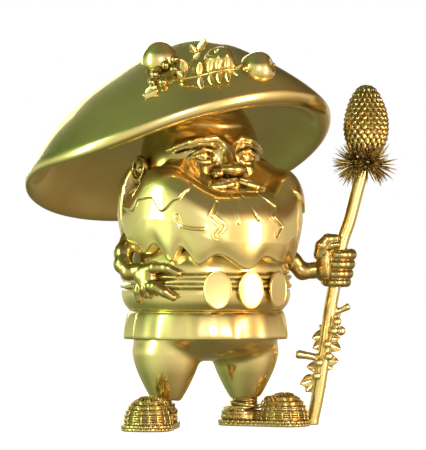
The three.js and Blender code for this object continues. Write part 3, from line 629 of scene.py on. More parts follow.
def buildSkirt():
    rows, cols = 16, 220
    waist = body["radius"] - 4.8 + 0.3

    def panel(middle, half, seed):
        draw = random.Random(seed)
        waves = [(draw.uniform(*rates), draw.uniform(0, 6), size)
                 for rates, size in (((6, 9), 0.6), ((12, 17), 0.45), ((23, 29), 0.2))]

        def place(across, up, out):
            angle = math.radians(middle + (across * 2 - 1) * half)
            fold = sum(size * math.sin(rate * angle + shift) for rate, shift, size in waves)
            flare = (1 - up) * 3 + 0.5 * math.sin(math.pi * up)
            edge = 1 - 0.35 * (abs(up - 0.5) * 2) ** 8
            radius = waist + flare + 0.35 + out * (2.4 * edge) + fold * (0.25 + 0.75 * (1 - up)) * out
            height = body["hemFloor"] + up * (body["floor"] - body["hemFloor"])
            return (radius * math.sin(angle), -radius * math.cos(angle), height)

        return slabMesh(cols, rows, 1, place)

    points, faces = panel(0, 89, 3)
    addPiece("skirtFront", points, faces, ["tunic_front_panel"])
    points, faces = panel(180, 89, 5)
    addPiece("skirtBack", points, faces, ["tunic_back_panel"])


buildTorso()
buildBelt()
buildDiscs()
buildSkirt()
print("torso, belt and skirt made")

# Trousers: a full seat and two tapering legs melted together


legs = {
    "apart": 29.0, "deep": 1.14,
    "widths": [(10, 5), (16, 7.6), (20.5, 10.4), (25, 12.9), (30.5, 15.6), (37, 18.4), (44, 20.4), (50, 21),
               (58, 19), (66, 14), (80, 8)],
}
legTable = smoothCurve(legs["widths"], 80)


def trouserField(p):
    seat = egg(p, (0, 0, 62), (47.6, 47.0, 19.5))
    whole = blend(seat, egg(p, (0, 0, 70), (46.6, 46.4, 16)), 4)
    width = np.interp(p[:, 2], legTable[:, 0], legTable[:, 1])
    for side in (-1, 1):
        leg = (np.hypot(p[:, 0] - side * legs["apart"], p[:, 1] / legs["deep"]) - width) * 0.85
        whole = blend(whole, leg, 4.5)
    flatTop = p[:, 2] - 74.8
    whole = overlap(whole, flatTop, 0.6)
    cuffs = 18.2 + 0.10 * (np.abs(p[:, 0]) - 30) - p[:, 2]
    return overlap(whole, cuffs, 1.6)


def buildTrousers():
    points, faces = skin(trouserField, (-52, -52, 14), (52, 52, 78), 1.0)
    addPiece("trousers", points, faces, ["trousers"])


buildTrousers()
print("trousers made")

# Beard and mane: heavy shells with scalloped tips, overlapping locks and engraved strands

beard = {
    "radius": 59.5, "setOut": 5.0,
    "tips": [(-100, 121), (-90, 112), (-80, 111), (-69, 117), (-57, 106), (-49, 115), (-37, 104), (-25, 110),
             (-4, 101), (9, 109), (22, 105.5), (33, 112), (45, 105), (56, 115), (68, 107), (80, 112), (92, 112),
             (100, 122)],
    "sideLocks": [(-100, 140), (-84, 138), (-78, 145), (-68, 146), (-60, 137.5), (-50, 144.5), (-44, 150),
                  (-40, 160)],
    "zigzags": [
        [(-25.3, 143.2), (-28.9, 134.3), (-22, 128), (-26.7, 122.5), (-25.3, 121)],
        [(8.5, 147.7), (17, 140.3), (11.6, 134), (19.1, 127.7), (15, 122.2)],
        [(-50, 134.6), (-47.3, 127.8), (-41, 126.6), (-33.8, 126.2)],
    ],
    "partings": [[(-14.9, 149.7), (-12.8, 130)], [(-8.8, 150.7), (-1.4, 136.5), (1, 132)]],
}


def strokeDistance(across, height, strokes):
    best = np.full(len(across), 99.0)
    for stroke in strokes:
        for (a0, z0), (a1, z1) in zip(stroke, stroke[1:]):
            dx, dz = a1 - a0, z1 - z0
            t = np.clip(((across - a0) * dx + (height - z0) * dz) / (dx * dx + dz * dz), 0, 1)
            best = np.minimum(best, np.hypot(across - a0 - t * dx, height - z0 - t * dz))
    return best


def hairRadius(edgeRadius, drop):
    curve = 1 - np.clip(drop / 24, 0, 1)
    return edgeRadius + (beard["radius"] - edgeRadius) * np.sqrt(np.maximum(1 - curve * curve, 0)) \
        - np.maximum(drop - 34, 0) * 0.14


def beardField(p):
    x, y, z = p[:, 0], p[:, 1] + beard["setOut"], p[:, 2]
    degrees = np.degrees(np.arctan2(x, -y))
    radius = np.hypot(x, y)
    turn = np.abs(degrees)
    top = 151.5 + 15 * ease(turn, 20, 62) - 12 * ease(turn, 74, 92)
    low = smoothStepCurve(beard["tips"], np.clip(degrees, -100, 100))
    edge = 37 + 7 * ease(turn, 20, 70)
    outer = hairRadius(edge, np.maximum(top - z, 0) + 0.4)
    lockEdge = smoothStepCurve(beard["sideLocks"], np.clip(-turn, -100, -40))
    outer = outer + 1.5 * ease(z - lockEdge, -0.5, 0.6) * ease(turn, 40, 46)
    tipLean = ease(z - low, 0, 14)
    outer = outer - 1.6 * (1 - tipLean) ** 2
    groove = strokeDistance(degrees, z, beard["zigzags"])
    outer = outer - 1.3 * np.exp(-(groove / 0.65) ** 2) + 0.2 * np.exp(-((groove - 1.6) / 0.8) ** 2)
    parting = strokeDistance(degrees, z, beard["partings"])
    outer = outer - 0.6 * np.exp(-(parting / 0.7) ** 2)
    strand = np.sin(np.radians(degrees) * 19 + 0.06 * z) * 0.22 * ease(turn, 5, 30) * ease(low + 30 - z, 0, 24)
    outer = outer + strand
    shell = radius - outer
    shell = overlap(shell, low - z, 1.2)
    shell = overlap(shell, z - top - np.maximum(edge - radius, 0) * 0.62, 3.0)
    shell = overlap(shell, turn - 99.5, 1.0)
    inner = 46.5 - 25 * ease(z, 134, 152)
    return overlap(shell, inner - radius, 1.0)


def buildBeard():
    points, faces = skin(beardField, (-64, -68, 97), (64, 14, 171), 0.62)
    addPiece("beardShell", points, faces, ["beard"])


maneTips = [(100, 124), (110, 113), (120, 121), (131, 111), (142, 120), (153, 109), (166, 118), (180, 107),
            (194, 118), (207, 109), (218, 120), (229, 111), (240, 121), (250, 113), (260, 124)]


def maneField(p):
    x, y, z = p[:, 0], p[:, 1] - 2, p[:, 2]
    degrees = np.degrees(np.arctan2(x, -y)) % 360
    radius = np.hypot(x, y)
    low = smoothStepCurve(maneTips, np.clip(degrees, 100, 260))
    outer = hairRadius(42, np.maximum(171 - z, 0)) - 3
    locks = np.abs(np.sin(np.radians(degrees) * 8 + 0.9 * np.sin(z * 0.07))) ** 0.7
    outer = outer - 1.8 * (1 - locks) - 1.5 * (1 - ease(z - low, 0, 12)) ** 2
    shell = overlap(radius - outer, low - z, 1.2)
    shell = overlap(shell, z - 171, 2.0)
    shell = overlap(shell, (np.abs(degrees - 180) - 78.4) * 0.9, 1.0)
    return overlap(shell, 46 - 9 * ease(z, 134, 150) - radius, 1.0)


def buildMane():
    points, faces = skin(maneField, (-62, -14, 103), (62, 62, 175), 1.1)
    addPiece("maneShell", points, faces, ["hair_mane"])


buildBeard()
buildMane()
print("beard and mane made")

# Head: a full face with lids, cheeks and a heavy brow, and its loose features

face = {"centre": (0, 7, 172), "radii": (40, 34, 46), "eyeAcross": 15.4, "eyeHeight": 173.6, "eyeRadius": 5.0}


def headField(p):
    mirrored = p.copy()
    mirrored[:, 0] = np.abs(p[:, 0])
    whole = egg(p, face["centre"], face["radii"])
    cheek = egg(mirrored, (17, -19, 162), (12.5, 9.5, 8.0))
    whole = blend(whole, cheek, 5)
    ridge = limb(mirrored, [(4, -26.5, 182), (12, -25.6, 183), (21, -22, 182), (29, -16, 179)],
                 [2.6, 3.0, 2.8, 2.0])
    whole = blend(whole, ridge, 4)
    crease = limb(mirrored, [(8.4, -27.4, 177.4), (12, -27.2, 179.6), (19, -24.6, 180.0), (26, -19.4, 178.4),
                             (31, -14.6, 176)], [0.8, 1.15, 1.2, 1.1, 0.7], 0.5)
    whole = blend(whole, crease, 1.2)
    socket = egg(mirrored, (face["eyeAcross"], -28.5, face["eyeHeight"] - 0.3), (8.6, 6.2, 5.4))
    whole = carve(whole, socket, 2.6)
    eye = face["eyeAcross"]
    upperLid = limb(mirrored, [(eye - 7.2, -24.4, 172.4), (eye - 3.5, -26.8, 176.2), (eye + 1.5, -26.6, 177.2),
                               (eye + 5.6, -23.9, 175), (eye + 8.2, -20.6, 172)],
                    [1.0, 1.35, 1.4, 1.25, 0.9], 0.6)
    lowerLid = limb(mirrored, [(eye - 7.2, -24.4, 172.2), (eye - 3, -26, 169.9), (eye + 2, -25.6, 169.4),
                               (eye + 6, -22.9, 170.4), (eye + 8.2, -20.6, 172)],
                    [0.9, 1.15, 1.2, 1.1, 0.9], 0.6)
    bag = limb(mirrored, [(eye - 5, -26.2, 167.4), (eye + 1, -26.4, 166.2), (eye + 7, -23, 167.6)],
               [1.0, 1.5, 0.9], 0.6)
    whole = blend(whole, blend(upperLid, lowerLid, 0.5), 0.9)
    whole = blend(whole, bag, 2.0)
    fold = limb(mirrored, [(7.5, -31, 164.5), (13, -30.2, 160), (17.5, -27, 154.5)], 1.0, 0.5)
    whole = carve(whole, fold, 1.8)
    bridge = limb(p, [(0, -28, 178), (0, -30.2, 172), (0, -32.6, 167)], [3.4, 3.6, 4.6], 1)
    whole = blend(whole, bridge, 4)
    lip = limb(mirrored, [(0, -36, 155.5), (8, -34.5, 155.2), (14, -30, 154)], [4.2, 3.6, 2.4], 1)
    whole = blend(whole, lip, 4)
    wrinkle = np.sin((p[:, 2] - 186) * 0.9 + 0.5 * np.cos(p[:, 0] * 0.16)) * 0.35
    whole = whole - wrinkle * ease(p[:, 2], 183, 187) * ease(-p[:, 1], 8, 20)
    floorCut = 136.4 - p[:, 2]
    return overlap(whole, floorCut, 0.6)


def buildHead():
    points, faces = skin(headField, (-45, -44, 132), (45, 44, 221), 0.85)
    addPiece("headShell", points, faces, ["head"])


def buildEyes():
    for side, hand in ((-1, "Right"), (1, "Left")):
        centre = np.array((side * face["eyeAcross"], -20.9, face["eyeHeight"] - 0.4))
        pupilAt = centre + np.array((-1.9, -4.75, 0.3))

        def eyeField(p):
            ball = egg(p, centre, (face["eyeRadius"] + 0.4,) * 3)
            return blend(ball, egg(p, pupilAt, (1.55, 1.0, 1.55)), 0.35)

        reach = 7.5
        points, faces = skin(eyeField, centre - reach, centre + reach, 0.35, 2)
        addPiece(f"eye{hand}", points, faces, [f"eye_{hand.lower()}"])


def buildBrows():
    for side, hand in ((-1, "Right"), (1, "Left")):
        locks = [
            ([(6, -29.2, 182.4), (9.5, -29.2, 184.2), (14, -28.2, 184.4)], [1.3, 2.3, 1.7]),
            ([(11.5, -29, 183.4), (16, -27.6, 183.6), (22, -24.6, 182.8)], [1.6, 2.2, 1.5]),
            ([(20, -25, 182.2), (25, -21.4, 181.6), (30, -17, 179.8)], [1.5, 1.9, 1.2]),
            ([(27, -19.6, 180.4), (31, -15.6, 178.8), (35, -10.8, 176.6)], [1.3, 1.6, 0.9]),
        ]

        def browField(p):
            whole = None
            for points, radii in locks:
                lock = limb(p, [(side * x, y, z) for x, y, z in points], radii, 0.5)
                whole = lock if whole is None else blend(whole, lock, 0.3)
            return whole

        ends = sorted((side * 3, side * 37))
        points, faces = skin(browField, (ends[0], -33, 174), (ends[1], -10, 188), 0.45, 2)
        addPiece(f"brow{hand}", points, faces, [f"brow_{hand.lower()}"])


def noseField(p):
    mirrored = p.copy()
    mirrored[:, 0] = np.abs(p[:, 0])
    bulb = egg(p, (0.8, -33.6, 164.4), (9.4, 6.8, 4.9))
    wing = egg(mirrored, (9.0, -30.6, 161.8), (4.2, 4.4, 3.5))
    whole = blend(bulb, wing, 0.9)
    nostril = egg(mirrored, (4.4, -34.6, 160.6), (1.7, 2.2, 1.6))
    whole = carve(whole, nostril, 0.7)
    return blend(whole, limb(p, [(0, -29.6, 176), (0, -31.6, 169)], [2.6, 3.6]), 2.6)


def buildNose():
    points, faces = skin(noseField, (-14, -42, 156), (14, -22, 181), 0.5, 2)
    addPiece("nose", points, faces, ["nose"])


def buildEars():
    for side, hand in ((-1, "Right"), (1, "Left")):
        x = side * 44.5
        tilt = tiltMatrix(14, 0, side * 24)

        def earField(p):
            shell = egg(p, (x, 6.5, 164.5), (5.6, 8.4, 9.8), tilt)
            bowl = egg(p, (x + side * 3.7, 3.9, 165.6), (3.8, 5.8, 6.6), tilt)
            whole = carve(shell, bowl, 1.4)
            lobe = egg(p, (x + side * 0.6, 4.4, 158.4), (2.7, 2.7, 3.1))
            knob = egg(p, (x + side * 2.0, 3.0, 164.8), (1.5, 1.6, 2.4))
            knots = [(x + side * 2.2, 9.6, 171), (x + side * 3.0, 10.4, 166), (x + side * 2.2, 8.4, 161.5)]
            curl = limb(p, knots, 0.8, 0.3)
            return blend(blend(blend(whole, lobe, 1.6), knob, 1.0), curl, 1.0)

        points, faces = skin(earField, (x - 10, -6, 150), (x + 10, 20, 180), 0.5, 2)
        addPiece(f"ear{hand}", points, faces, [f"ear_{hand.lower()}"])


def buildMoustache():
    for side, hand in ((-1, "Right"), (1, "Left")):
        strands = [
            ([(1.4, -41.2, 156.4), (6, -43.2, 154.9), (12, -43.4, 153.4), (18, -41, 152.8), (23, -37.6, 152.2)],
             [0.9, 1.7, 2.1, 1.9, 0.7]),
            ([(2.4, -40.4, 158.2), (7.5, -41.8, 157.0), (12, -41.6, 155.6)], [0.7, 1.15, 0.6]),
        ]

        def halfField(p):
            whole = None
            for points, radii in strands:
                lock = limb(p, [(side * x, y, z) for x, y, z in points], radii, 0.8)
                whole = lock if whole is None else blend(whole, lock, 0.5)
            return whole

        ends = sorted((side * -1.5, side * 27))
        points, faces = skin(halfField, (ends[0], -48, 149), (ends[1], -29, 163), 0.45, 2)
        addPiece(f"moustache{hand}", points, faces, [f"moustache_{hand.lower()}"])

    def tuftField(p):
        left = limb(p, [(-6.5, -43.0, 150.6), (-2, -44.6, 149.6), (2.5, -44.6, 149.4), (7, -43, 150.4)],
                    [1.1, 2.1, 2.1, 1.0], 0.8)
        return left

    points, faces = skin(tuftField, (-10, -48, 145), (10, -39, 154), 0.45, 2)
    addPiece("lipTuft", points, faces, ["lip_tuft"])


buildHead()
buildEyes()
buildBrows()
buildNose()
buildEars()
buildMoustache()
print("head made")

# Arms and hands

staffBehind = 26.0
staffRadius = 4.15
rightArmPath = [(-45, 2, 122.5), (-54, 2, 119.5), (-60.6, -1, 112), (-62.6, -4, 104.5), (-60.8, -9, 99.8),
                (-56.5, -15, 100)]
leftArmPath = [(45, 2, 122.5), (54, 0, 118), tuple(spot(56.5, 24, 107)), tuple(spot(63, 25, 100.2)),
               tuple(spot(71, 26, 101))]


def buildArms():
    def rightField(p):
        sleeve = limb(p, rightArmPath, [6.6, 6.2, 5.7, 5.5, 5.2, 5.0], 2.2)
        cuff = limb(p, [(-57.4, -13.6, 100), (-55.6, -16.6, 100.4)], 5.5)
        return blend(sleeve, cuff, 0.5)

    points, faces = skin(rightField, (-72, -25, 88), (-36, 12, 132), 0.7)
    addPiece("armRight", points, faces, ["arm_right"])

    def leftField(p):
        sleeve = limb(p, leftArmPath, [6.4, 6.0, 5.6, 5.3, 5.1], 2.2)
        cuff = limb(p, [spot(69.6, 26, 100.9), spot(72.4, 26, 101.4)], 5.6)
        return blend(sleeve, cuff, 0.5)

    points, faces = skin(leftField, (36, -34, 90), (84, 12, 132), 0.7)
    addPiece("armLeft", points, faces, ["arm_left"])


gripGap = 0.35
gripMiddle = spot(87, staffBehind, 108)
gripLean = spot(0.18, 0, 1)
gripLean = gripLean / np.linalg.norm(gripLean)


def aroundStaff(height, degrees, reach):
    angle = math.radians(degrees) - turn30
    return gripMiddle + gripLean * height + np.array((math.cos(angle), math.sin(angle), 0)) * reach


def fistField(p):
    palm = egg(p, spot(79.4, staffBehind - 0.5, 106.8), (7.6, 8.6, 13.6), tiltMatrix(0, 10, -30))
    heel = egg(p, spot(76.4, staffBehind - 1, 101.6), (6.0, 7.2, 7.2))
    whole = blend(palm, heel, 3)
    bend = staffRadius + gripGap + 3.1
    fingers = [(3.4, 3.25, -168), (-2.9, 3.35, -172), (-9.2, 3.25, -170), (-14.9, 2.8, -164)]
    for height, radius, tipAngle in fingers:
        angles = [tipAngle, -140, -112, -84, -52, -20, 14, 48, 84, 118]
        knots = [aroundStaff(height + 0.5 * math.sin(math.radians(angle)), angle, bend) for angle in angles]
        radii = [radius * share for share in (0.72, 0.92, 0.96, 1, 1.06, 1.1, 1.06, 1, 1, 1)]
        whole = blend(whole, limb(p, knots, radii, 0.8), 0.55)
    thumb = limb(p, [spot(73.6, 20, 111), spot(74.8, 18.2, 117), spot(79, 18.6, 121.2),
                     spot(84.2, 19.4, 121.6)],
                 [3.6, 3.7, 3.5, 2.9], 0.9)
    whole = blend(whole, thumb, 0.8)
    second = limb(p, [spot(76.5, 19.5, 112.5), spot(81.5, 18.6, 117), spot(85, 18.2, 117.6)],
                  [3.0, 2.7, 2.2], 0.8)
    whole = blend(whole, second, 0.5)
    crease = limb(p, [spot(79.6, 16.4, 113.2), spot(80.2, 16.8, 104), spot(79.6, 17, 95)], 1.2)
    whole = carve(whole, crease, 0.8)
    axisReach = np.linalg.norm(np.cross(p - gripMiddle, gripLean), axis=1) - (staffRadius + gripGap)
    return carve(whole, axisReach, 0.4)


def onBelly(across, height, proud=0.0):
    reach = body["beltOuter"] + 4 + proud
    return spot(across, -math.sqrt(reach * reach - across * across), height)


def rightHandField(p):
    wrist = limb(p, [(-56.5, -15.5, 100), onBelly(-41.5, 98.5)], [4.9, 4.6], 1)
    palm = egg(p, onBelly(-37.5, 95.6, 0.4), (7.8, 4.4, 8.6), tiltMatrix(0, -22, -30 - 36))
    whole = blend(wrist, palm, 3.2)
    fingers = [
        ([(-37.5, 93, 0.4), (-31.5, 90.6, 1.0), (-25.5, 87.2, 0.4), (-20.4, 83.9, -0.6)], [3.9, 3.8, 3.4, 2.6]),
        ([(-38.5, 100.4, 0.6), (-32, 102.6, 0.8), (-24.5, 102.2, 0.4), (-17.2, 98.8, -0.6)],
         [3.9, 3.7, 3.3, 2.5]),
        ([(-36.5, 93.4, 0.8), (-34.4, 90.8, 2.0), (-32.4, 87.6, 0.6)], [3.2, 3.2, 2.6]),
        ([(-39, 93, 0.8), (-38.2, 89.4, 2.0), (-36.8, 85.4, 0.6)], [3.1, 3.1, 2.6]),
        ([(-41.5, 92.6, 0.8), (-42.4, 88, 2.0), (-41.6, 82.6, 0.6)], [3.1, 3.0, 2.5]),
    ]
    for knots, radii in fingers:
        whole = blend(whole, limb(p, [onBelly(*knot) for knot in knots], radii, 0.9), 0.8)
    radius = np.hypot(p[:, 0], p[:, 1])
    beltKeep = body["beltOuter"] + 0.15 - radius
    torsoKeep = body["radius"] + 2.5 - radius
    inBelt = np.abs(p[:, 2] - body["beltFloor"] - body["beltHeight"] / 2) - body["beltHeight"] / 2 - 0.2
    room = np.where(inBelt < 0, beltKeep, torsoKeep)
    return overlap(whole, room, 0.4)


def buildHands():
    points, faces = skin(fistField, (60, -38, 86), (102, 2, 130), 0.5, 2)
    addPiece("handLeft", points, faces, ["hand_left"])
    points, faces = skin(rightHandField, (-66, -62, 74), (-34, -8, 112), 0.5, 2)
    addPiece("handRight", points, faces, ["hand_right"])


buildArms()
buildHands()
print("arms and hands made")

# Geometry Nodes trees: shapes set on points, and cords along paths

def newGeometryTree(name, inputs):
    tree = bpy.data.node_groups.new(name, "GeometryNodeTree")
    tree.is_modifier = True
    for label, kind in [("Geometry", "NodeSocketGeometry")] + inputs:
        tree.interface.new_socket(label, in_out="INPUT", socket_type=kind)
    tree.interface.new_socket("Geometry", in_out="OUTPUT", socket_type="NodeSocketGeometry")
    entry = tree.nodes.new("NodeGroupInput")
    return tree, {label: Wire(tree, entry.outputs[label]) for label, _ in [("Geometry", "")] + inputs}


def endTree(geometry, given):
    whole = geometry.node("GeometryNodeRealizeInstances", inputs={"Geometry": geometry})
    finished = geometry.node("GeometryNodeSetMaterial", inputs={"Geometry": whole, "Material": given["Finish"]})
    geometry.node("NodeGroupOutput", inputs={"Geometry": finished})


def makeScatterTree():
    # one shape on each point, turned by the point's own aim and side, with a little random size
    tree, given = newGeometryTree("shapesOnPoints", [
        ("Shape", "NodeSocketObject"), ("Size", "NodeSocketFloat"), ("Unevenness", "NodeSocketFloat"),
        ("Seed", "NodeSocketInt"), ("Finish", "NodeSocketMaterial")])
    start = given["Geometry"]

    def own(label):
        return start.node("GeometryNodeInputNamedAttribute", {"data_type": "FLOAT_VECTOR"}, {"Name": label},
                          "Attribute")

    shape = start.node("GeometryNodeObjectInfo", {"transform_space": "ORIGINAL"},
                       {"Object": given["Shape"]}, "Geometry")
    turned = start.node("FunctionNodeAxesToRotation", {"primary_axis": "Z", "secondary_axis": "X"},
                        {0: own("aim"), 1: own("side")})
    chance = start.node("FunctionNodeRandomValue", {"data_type": "FLOAT"},
                        {"Min": 1 - given["Unevenness"], "Max": 1 + given["Unevenness"],
                         "Seed": given["Seed"]}, "Value")
    scale = start.node("ShaderNodeVectorMath", {"operation": "SCALE"},
                       {0: own("size"), "Scale": chance * given["Size"]})
    placed = start.node("GeometryNodeInstanceOnPoints", inputs={
        "Points": start, "Instance": shape, "Rotation": turned, "Scale": scale})
    endTree(placed, given)
    return tree


def makeCordTree():
    # a round cord along every chain of edges, as thick as each point says
    tree, given = newGeometryTree("cordsOnPaths", [
        ("Sides", "NodeSocketInt"), ("Thickness", "NodeSocketFloat"), ("Finish", "NodeSocketMaterial")])
    start = given["Geometry"]
    own = start.node("GeometryNodeInputNamedAttribute", {"data_type": "FLOAT"}, {"Name": "thickness"},
                     "Attribute")
    line = start.node("GeometryNodeMeshToCurve", inputs={"Mesh": start})
    section = start.node("GeometryNodeCurvePrimitiveCircle", {"mode": "RADIUS"},
                         {"Resolution": given["Sides"], "Radius": 1.0})
    cord = start.node("GeometryNodeCurveToMesh", inputs={
        "Curve": line, "Profile Curve": section, "Scale": own * given["Thickness"], "Fill Caps": True})
    endTree(cord, given)
    return tree


scatterTree = makeScatterTree()
cordTree = makeCordTree()


def growMesh(tree, points, edges, attributes, settings):
    # runs a tree on the points and returns the plain mesh that it makes
    holderMesh = bpy.data.meshes.new("growth")
    holderMesh.from_pydata(toFrame(points).tolist(), edges, [])
    for label, values in attributes.items():
        values = np.asarray(values, dtype=float)
        kind, field = ("FLOAT_VECTOR", "vector") if values.ndim == 2 else ("FLOAT", "value")
        holderMesh.attributes.new(label, kind, "POINT").data.foreach_set(field, values.ravel())
    holder = bpy.data.objects.new("growth", holderMesh)
    bpy.context.scene.collection.objects.link(holder)
    modifier = holder.modifiers.new("growth", "NODES")
    modifier.node_group = tree
    for socket in tree.interface.items_tree:
        if socket.item_type == "SOCKET" and socket.in_out == "INPUT" and socket.name in settings:
            modifier[socket.identifier] = settings[socket.name]
    grown = bpy.data.meshes.new_from_object(holder.evaluated_get(bpy.context.evaluated_depsgraph_get()))
    holder.modifiers.remove(modifier)
    bpy.data.objects.remove(holder)
    return grown


def scatter(shape, points, aims, sides, sizes, unevenness=0.0, seed=1):
    # shape is a pair of points and faces of unit size; sizes are in millimetres
    outline = bpy.data.meshes.new("shape")
    outline.from_pydata(np.asarray(shape[0]).tolist(), [], [list(map(int, face)) for face in shape[1]])
    outline.polygons.foreach_set("use_smooth", [True] * len(outline.polygons))
    pattern = bpy.data.objects.new("shape", outline)
    bpy.context.scene.collection.objects.link(pattern)
    sizes = np.broadcast_to(np.asarray(sizes, dtype=float), (len(points), 3))
    grown = growMesh(scatterTree, points, [], {"aim": aims, "side": sides, "size": sizes},
                     {"Shape": pattern, "Size": 0.001, "Unevenness": unevenness, "Seed": seed, "Finish": brass})
    bpy.data.objects.remove(pattern)
    return grown


def cords(paths, thickness, sides=8, closed=False):
    # paths are lists of points in millimetres; thickness is one radius, or one for each point of a path
    points, edges, radii = [], [], []
    for path in paths:
        first = len(points)
        points += [tuple(point) for point in path]
        edges += [(first + n, first + n + 1) for n in range(len(path) - 1)]
        if closed:
            edges.append((first + len(path) - 1, first))
        radii += list(np.broadcast_to(np.asarray(thickness, dtype=float), (len(path),)))
    return growMesh(cordTree, np.array(points), edges, {"thickness": radii},
                    {"Sides": sides, "Thickness": 0.001, "Finish": brass})


def meshOf(points, faces):
    mesh = bpy.data.meshes.new("part")
    mesh.from_pydata(toFrame(points).tolist(), [], [list(map(int, face)) for face in faces])
    return mesh


def addJoined(name, meshes, nodes, body="figure", material=None):
    whole = bmesh.new()
    for mesh in meshes:
        whole.from_mesh(mesh)
    bmesh.ops.recalc_face_normals(whole, faces=whole.faces)
    joined = bpy.data.meshes.new(name)
    whole.to_mesh(joined)
    whole.free()
    joined.materials.clear()
    joined.materials.append(material or brassFor(name))
    for polygon in joined.polygons:
        polygon.material_index = 0
        polygon.use_smooth = True
    piece = bpy.data.objects.new(name, joined)
    bpy.context.scene.collection.objects.link(piece)
    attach(piece, body)
    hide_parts(*nodes)
    return piece


# Unit shapes that the trees repeat

def ballShape(around=12, rings=8, dimple=0.0):
    profile = [(0, -1)]
    for step in range(1, rings):
        angle = -math.pi / 2 + math.pi * step / rings
        profile.append((math.cos(angle), math.sin(angle)))
    profile.append((0, 1 - dimple))
    return turnedMesh(profile, around)


def bladeShape(stations=7, fold=0.16, thickness=0.07, shoulder=0.42):
    # a pointed leaf: length along z, width along x, folded a little along its middle rib
    def place(across, up, out):
        sideways = across * 2 - 1
        swell = math.sin(math.pi * up ** 0.8) ** 0.75 if 0 < up < 1 else 0.0
        width = 0.02 + 0.48 * swell * (1 - 0.25 * max(up - shoulder, 0))
        rib = 0.6 * math.exp(-(sideways / 0.3) ** 2) * thickness
        lift = fold * abs(sideways) * swell - 0.18 * up * up
        return (sideways * width, -lift - rib * (1 if out < 0.5 else -0.3) - (0.5 - out) * thickness, up)
    return slabMesh(6, stations, 1, place)


def brickShape():
    bevelled = bmesh.new()
    bmesh.ops.create_cube(bevelled, size=1.0)
    bmesh.ops.bevel(bevelled, geom=bevelled.edges, offset=0.24, segments=2, profile=0.6, affect="EDGES")
    bevelled.verts.index_update()
    corners = [tuple(vert.co) for vert in bevelled.verts]
    shape = (corners, [[vert.index for vert in face.verts] for face in bevelled.faces])
    bevelled.free()
    return shape


def scaleShape():
    # a lozenge scale of a pine cone: x across, y up the cone, z out, with a raised point below its middle
    rings = [(1.0, -0.45), (1.0, 0.02), (0.86, 0.17), (0.5, 0.27), (0.2, 0.42)]
    points = []
    for share, height in rings:
        for step in range(8):
            angle = math.pi * step / 4
            corner = 1.0 if step % 2 == 0 else 0.74
            x = 0.5 * share * corner * math.cos(angle)
            y = 0.5 * share * corner * math.sin(angle)
            points.append((x, y - 0.12 * (1 - share), height + 0.1 * (-y) * (1 - share * 0.5)))
    points += [(0, 0, -0.45), (0, -0.13, 0.47)]
    faces = []
    for ring in range(len(rings) - 1):
        for step in range(8):
            nxt = (step + 1) % 8
            faces.append((ring * 8 + step, ring * 8 + nxt, ring * 8 + 8 + nxt, ring * 8 + 8 + step))
    last = (len(rings) - 1) * 8
    for step in range(8):
        nxt = (step + 1) % 8
        faces.append((len(points) - 2, nxt, step))
        faces.append((len(points) - 1, last + step, last + nxt))
    return points, faces


def needleShape():
    return turnedMesh([(0, 0), (0.5, 0.04), (0.62, 0.4), (0.42, 0.8), (0, 1)], 6)


berryShape = ballShape(14, 9, 0.16)
leafShape = bladeShape()


# Shoes of woven bast

shoe = {
    "length": 60.6, "width": 32.0, "soleHeight": 4.0, "turn": 45.0, "ankleAcross": 32.0, "ankleBehind": 3.8,
    "heelBack": -18.0, "ankleRadius": 7.5, "ankleFoot": 10.5, "ankleTop": 20.5,
    "toe": (25.2, 0.0, 5.0), "toeRadii": (15.8, 14.9, 16.2),
    "heel": (-3.2, 0.0, 4.0), "heelRadii": (13.2, 10.4, 12.2),
    "rim": [(-18, 0.0), (-16.6, 0.4), (-12, 0.6), (0, 0.74), (12, 0.86), (25, 0.99), (34, 0.93), (40, 0.66),
            (42.6, 0.0)],
    "ribs": 15, "rowHeights": (6.8, 9.6, 12.4, 15.2, 18.0),
}


def toShoe(points, side):
    points = np.asarray(points, dtype=float)
    turn = math.radians(-90 + side * shoe["turn"])
    x = side * shoe["ankleAcross"] + points[:, 0] * math.cos(turn) - points[:, 1] * math.sin(turn)
    y = shoe["ankleBehind"] + points[:, 0] * math.sin(turn) + points[:, 1] * math.cos(turn)
    return np.stack([x, y, points[:, 2]], axis=1)


def turnAims(aims, side):
    zero = toShoe(np.zeros((1, 3)), side)
    return toShoe(aims, side) - zero


def upperField(p):
    toe = egg(p, shoe["toe"], shoe["toeRadii"])
    heel = egg(p, shoe["heel"], shoe["heelRadii"])
    whole = blend(toe, heel, 3.5)
    bands = 0.34 * np.cos(2 * math.pi * (p[:, 2] - shoe["rowHeights"][0]) / 2.8)
    whole = whole - bands * ease(p[:, 0], 4, 12)
    whole = whole - 0.25 * np.cos(math.pi * p[:, 2] * 1.1) * ease(-p[:, 0], -6, 2)
    mouth = np.hypot(p[:, 0], p[:, 1]) - shoe["ankleRadius"] - 0.4
    mouth = overlap(mouth, shoe["ankleFoot"] - 0.3 - p[:, 2], 0.3)
    whole = carve(whole, mouth, 0.5)
    return overlap(whole, shoe["soleHeight"] + 0.1 - p[:, 2], 0.4)


def onShoe(path, lift):
    path = np.asarray(path, dtype=float)

    def lifted(p):
        return upperField(p) - lift
    for _ in range(6):
        path = toSurface(lifted, path, 2.0)
    return path


def soleOutline(count, inset=0.0):
    rim = [(f, -share * shoe["width"] / 2) for f, share in shoe["rim"]]
    rim += [(f, share * shoe["width"] / 2) for f, share in reversed(shoe["rim"][1:-1])]
    loop = smoothCurve(rim + [rim[0]], count + 1)[:-1]
    middle = np.array([shoe["length"] / 2 + shoe["heelBack"], 0.0])
    return loop - inset * (loop - middle) / np.linalg.norm(loop - middle, axis=1)[:, None]


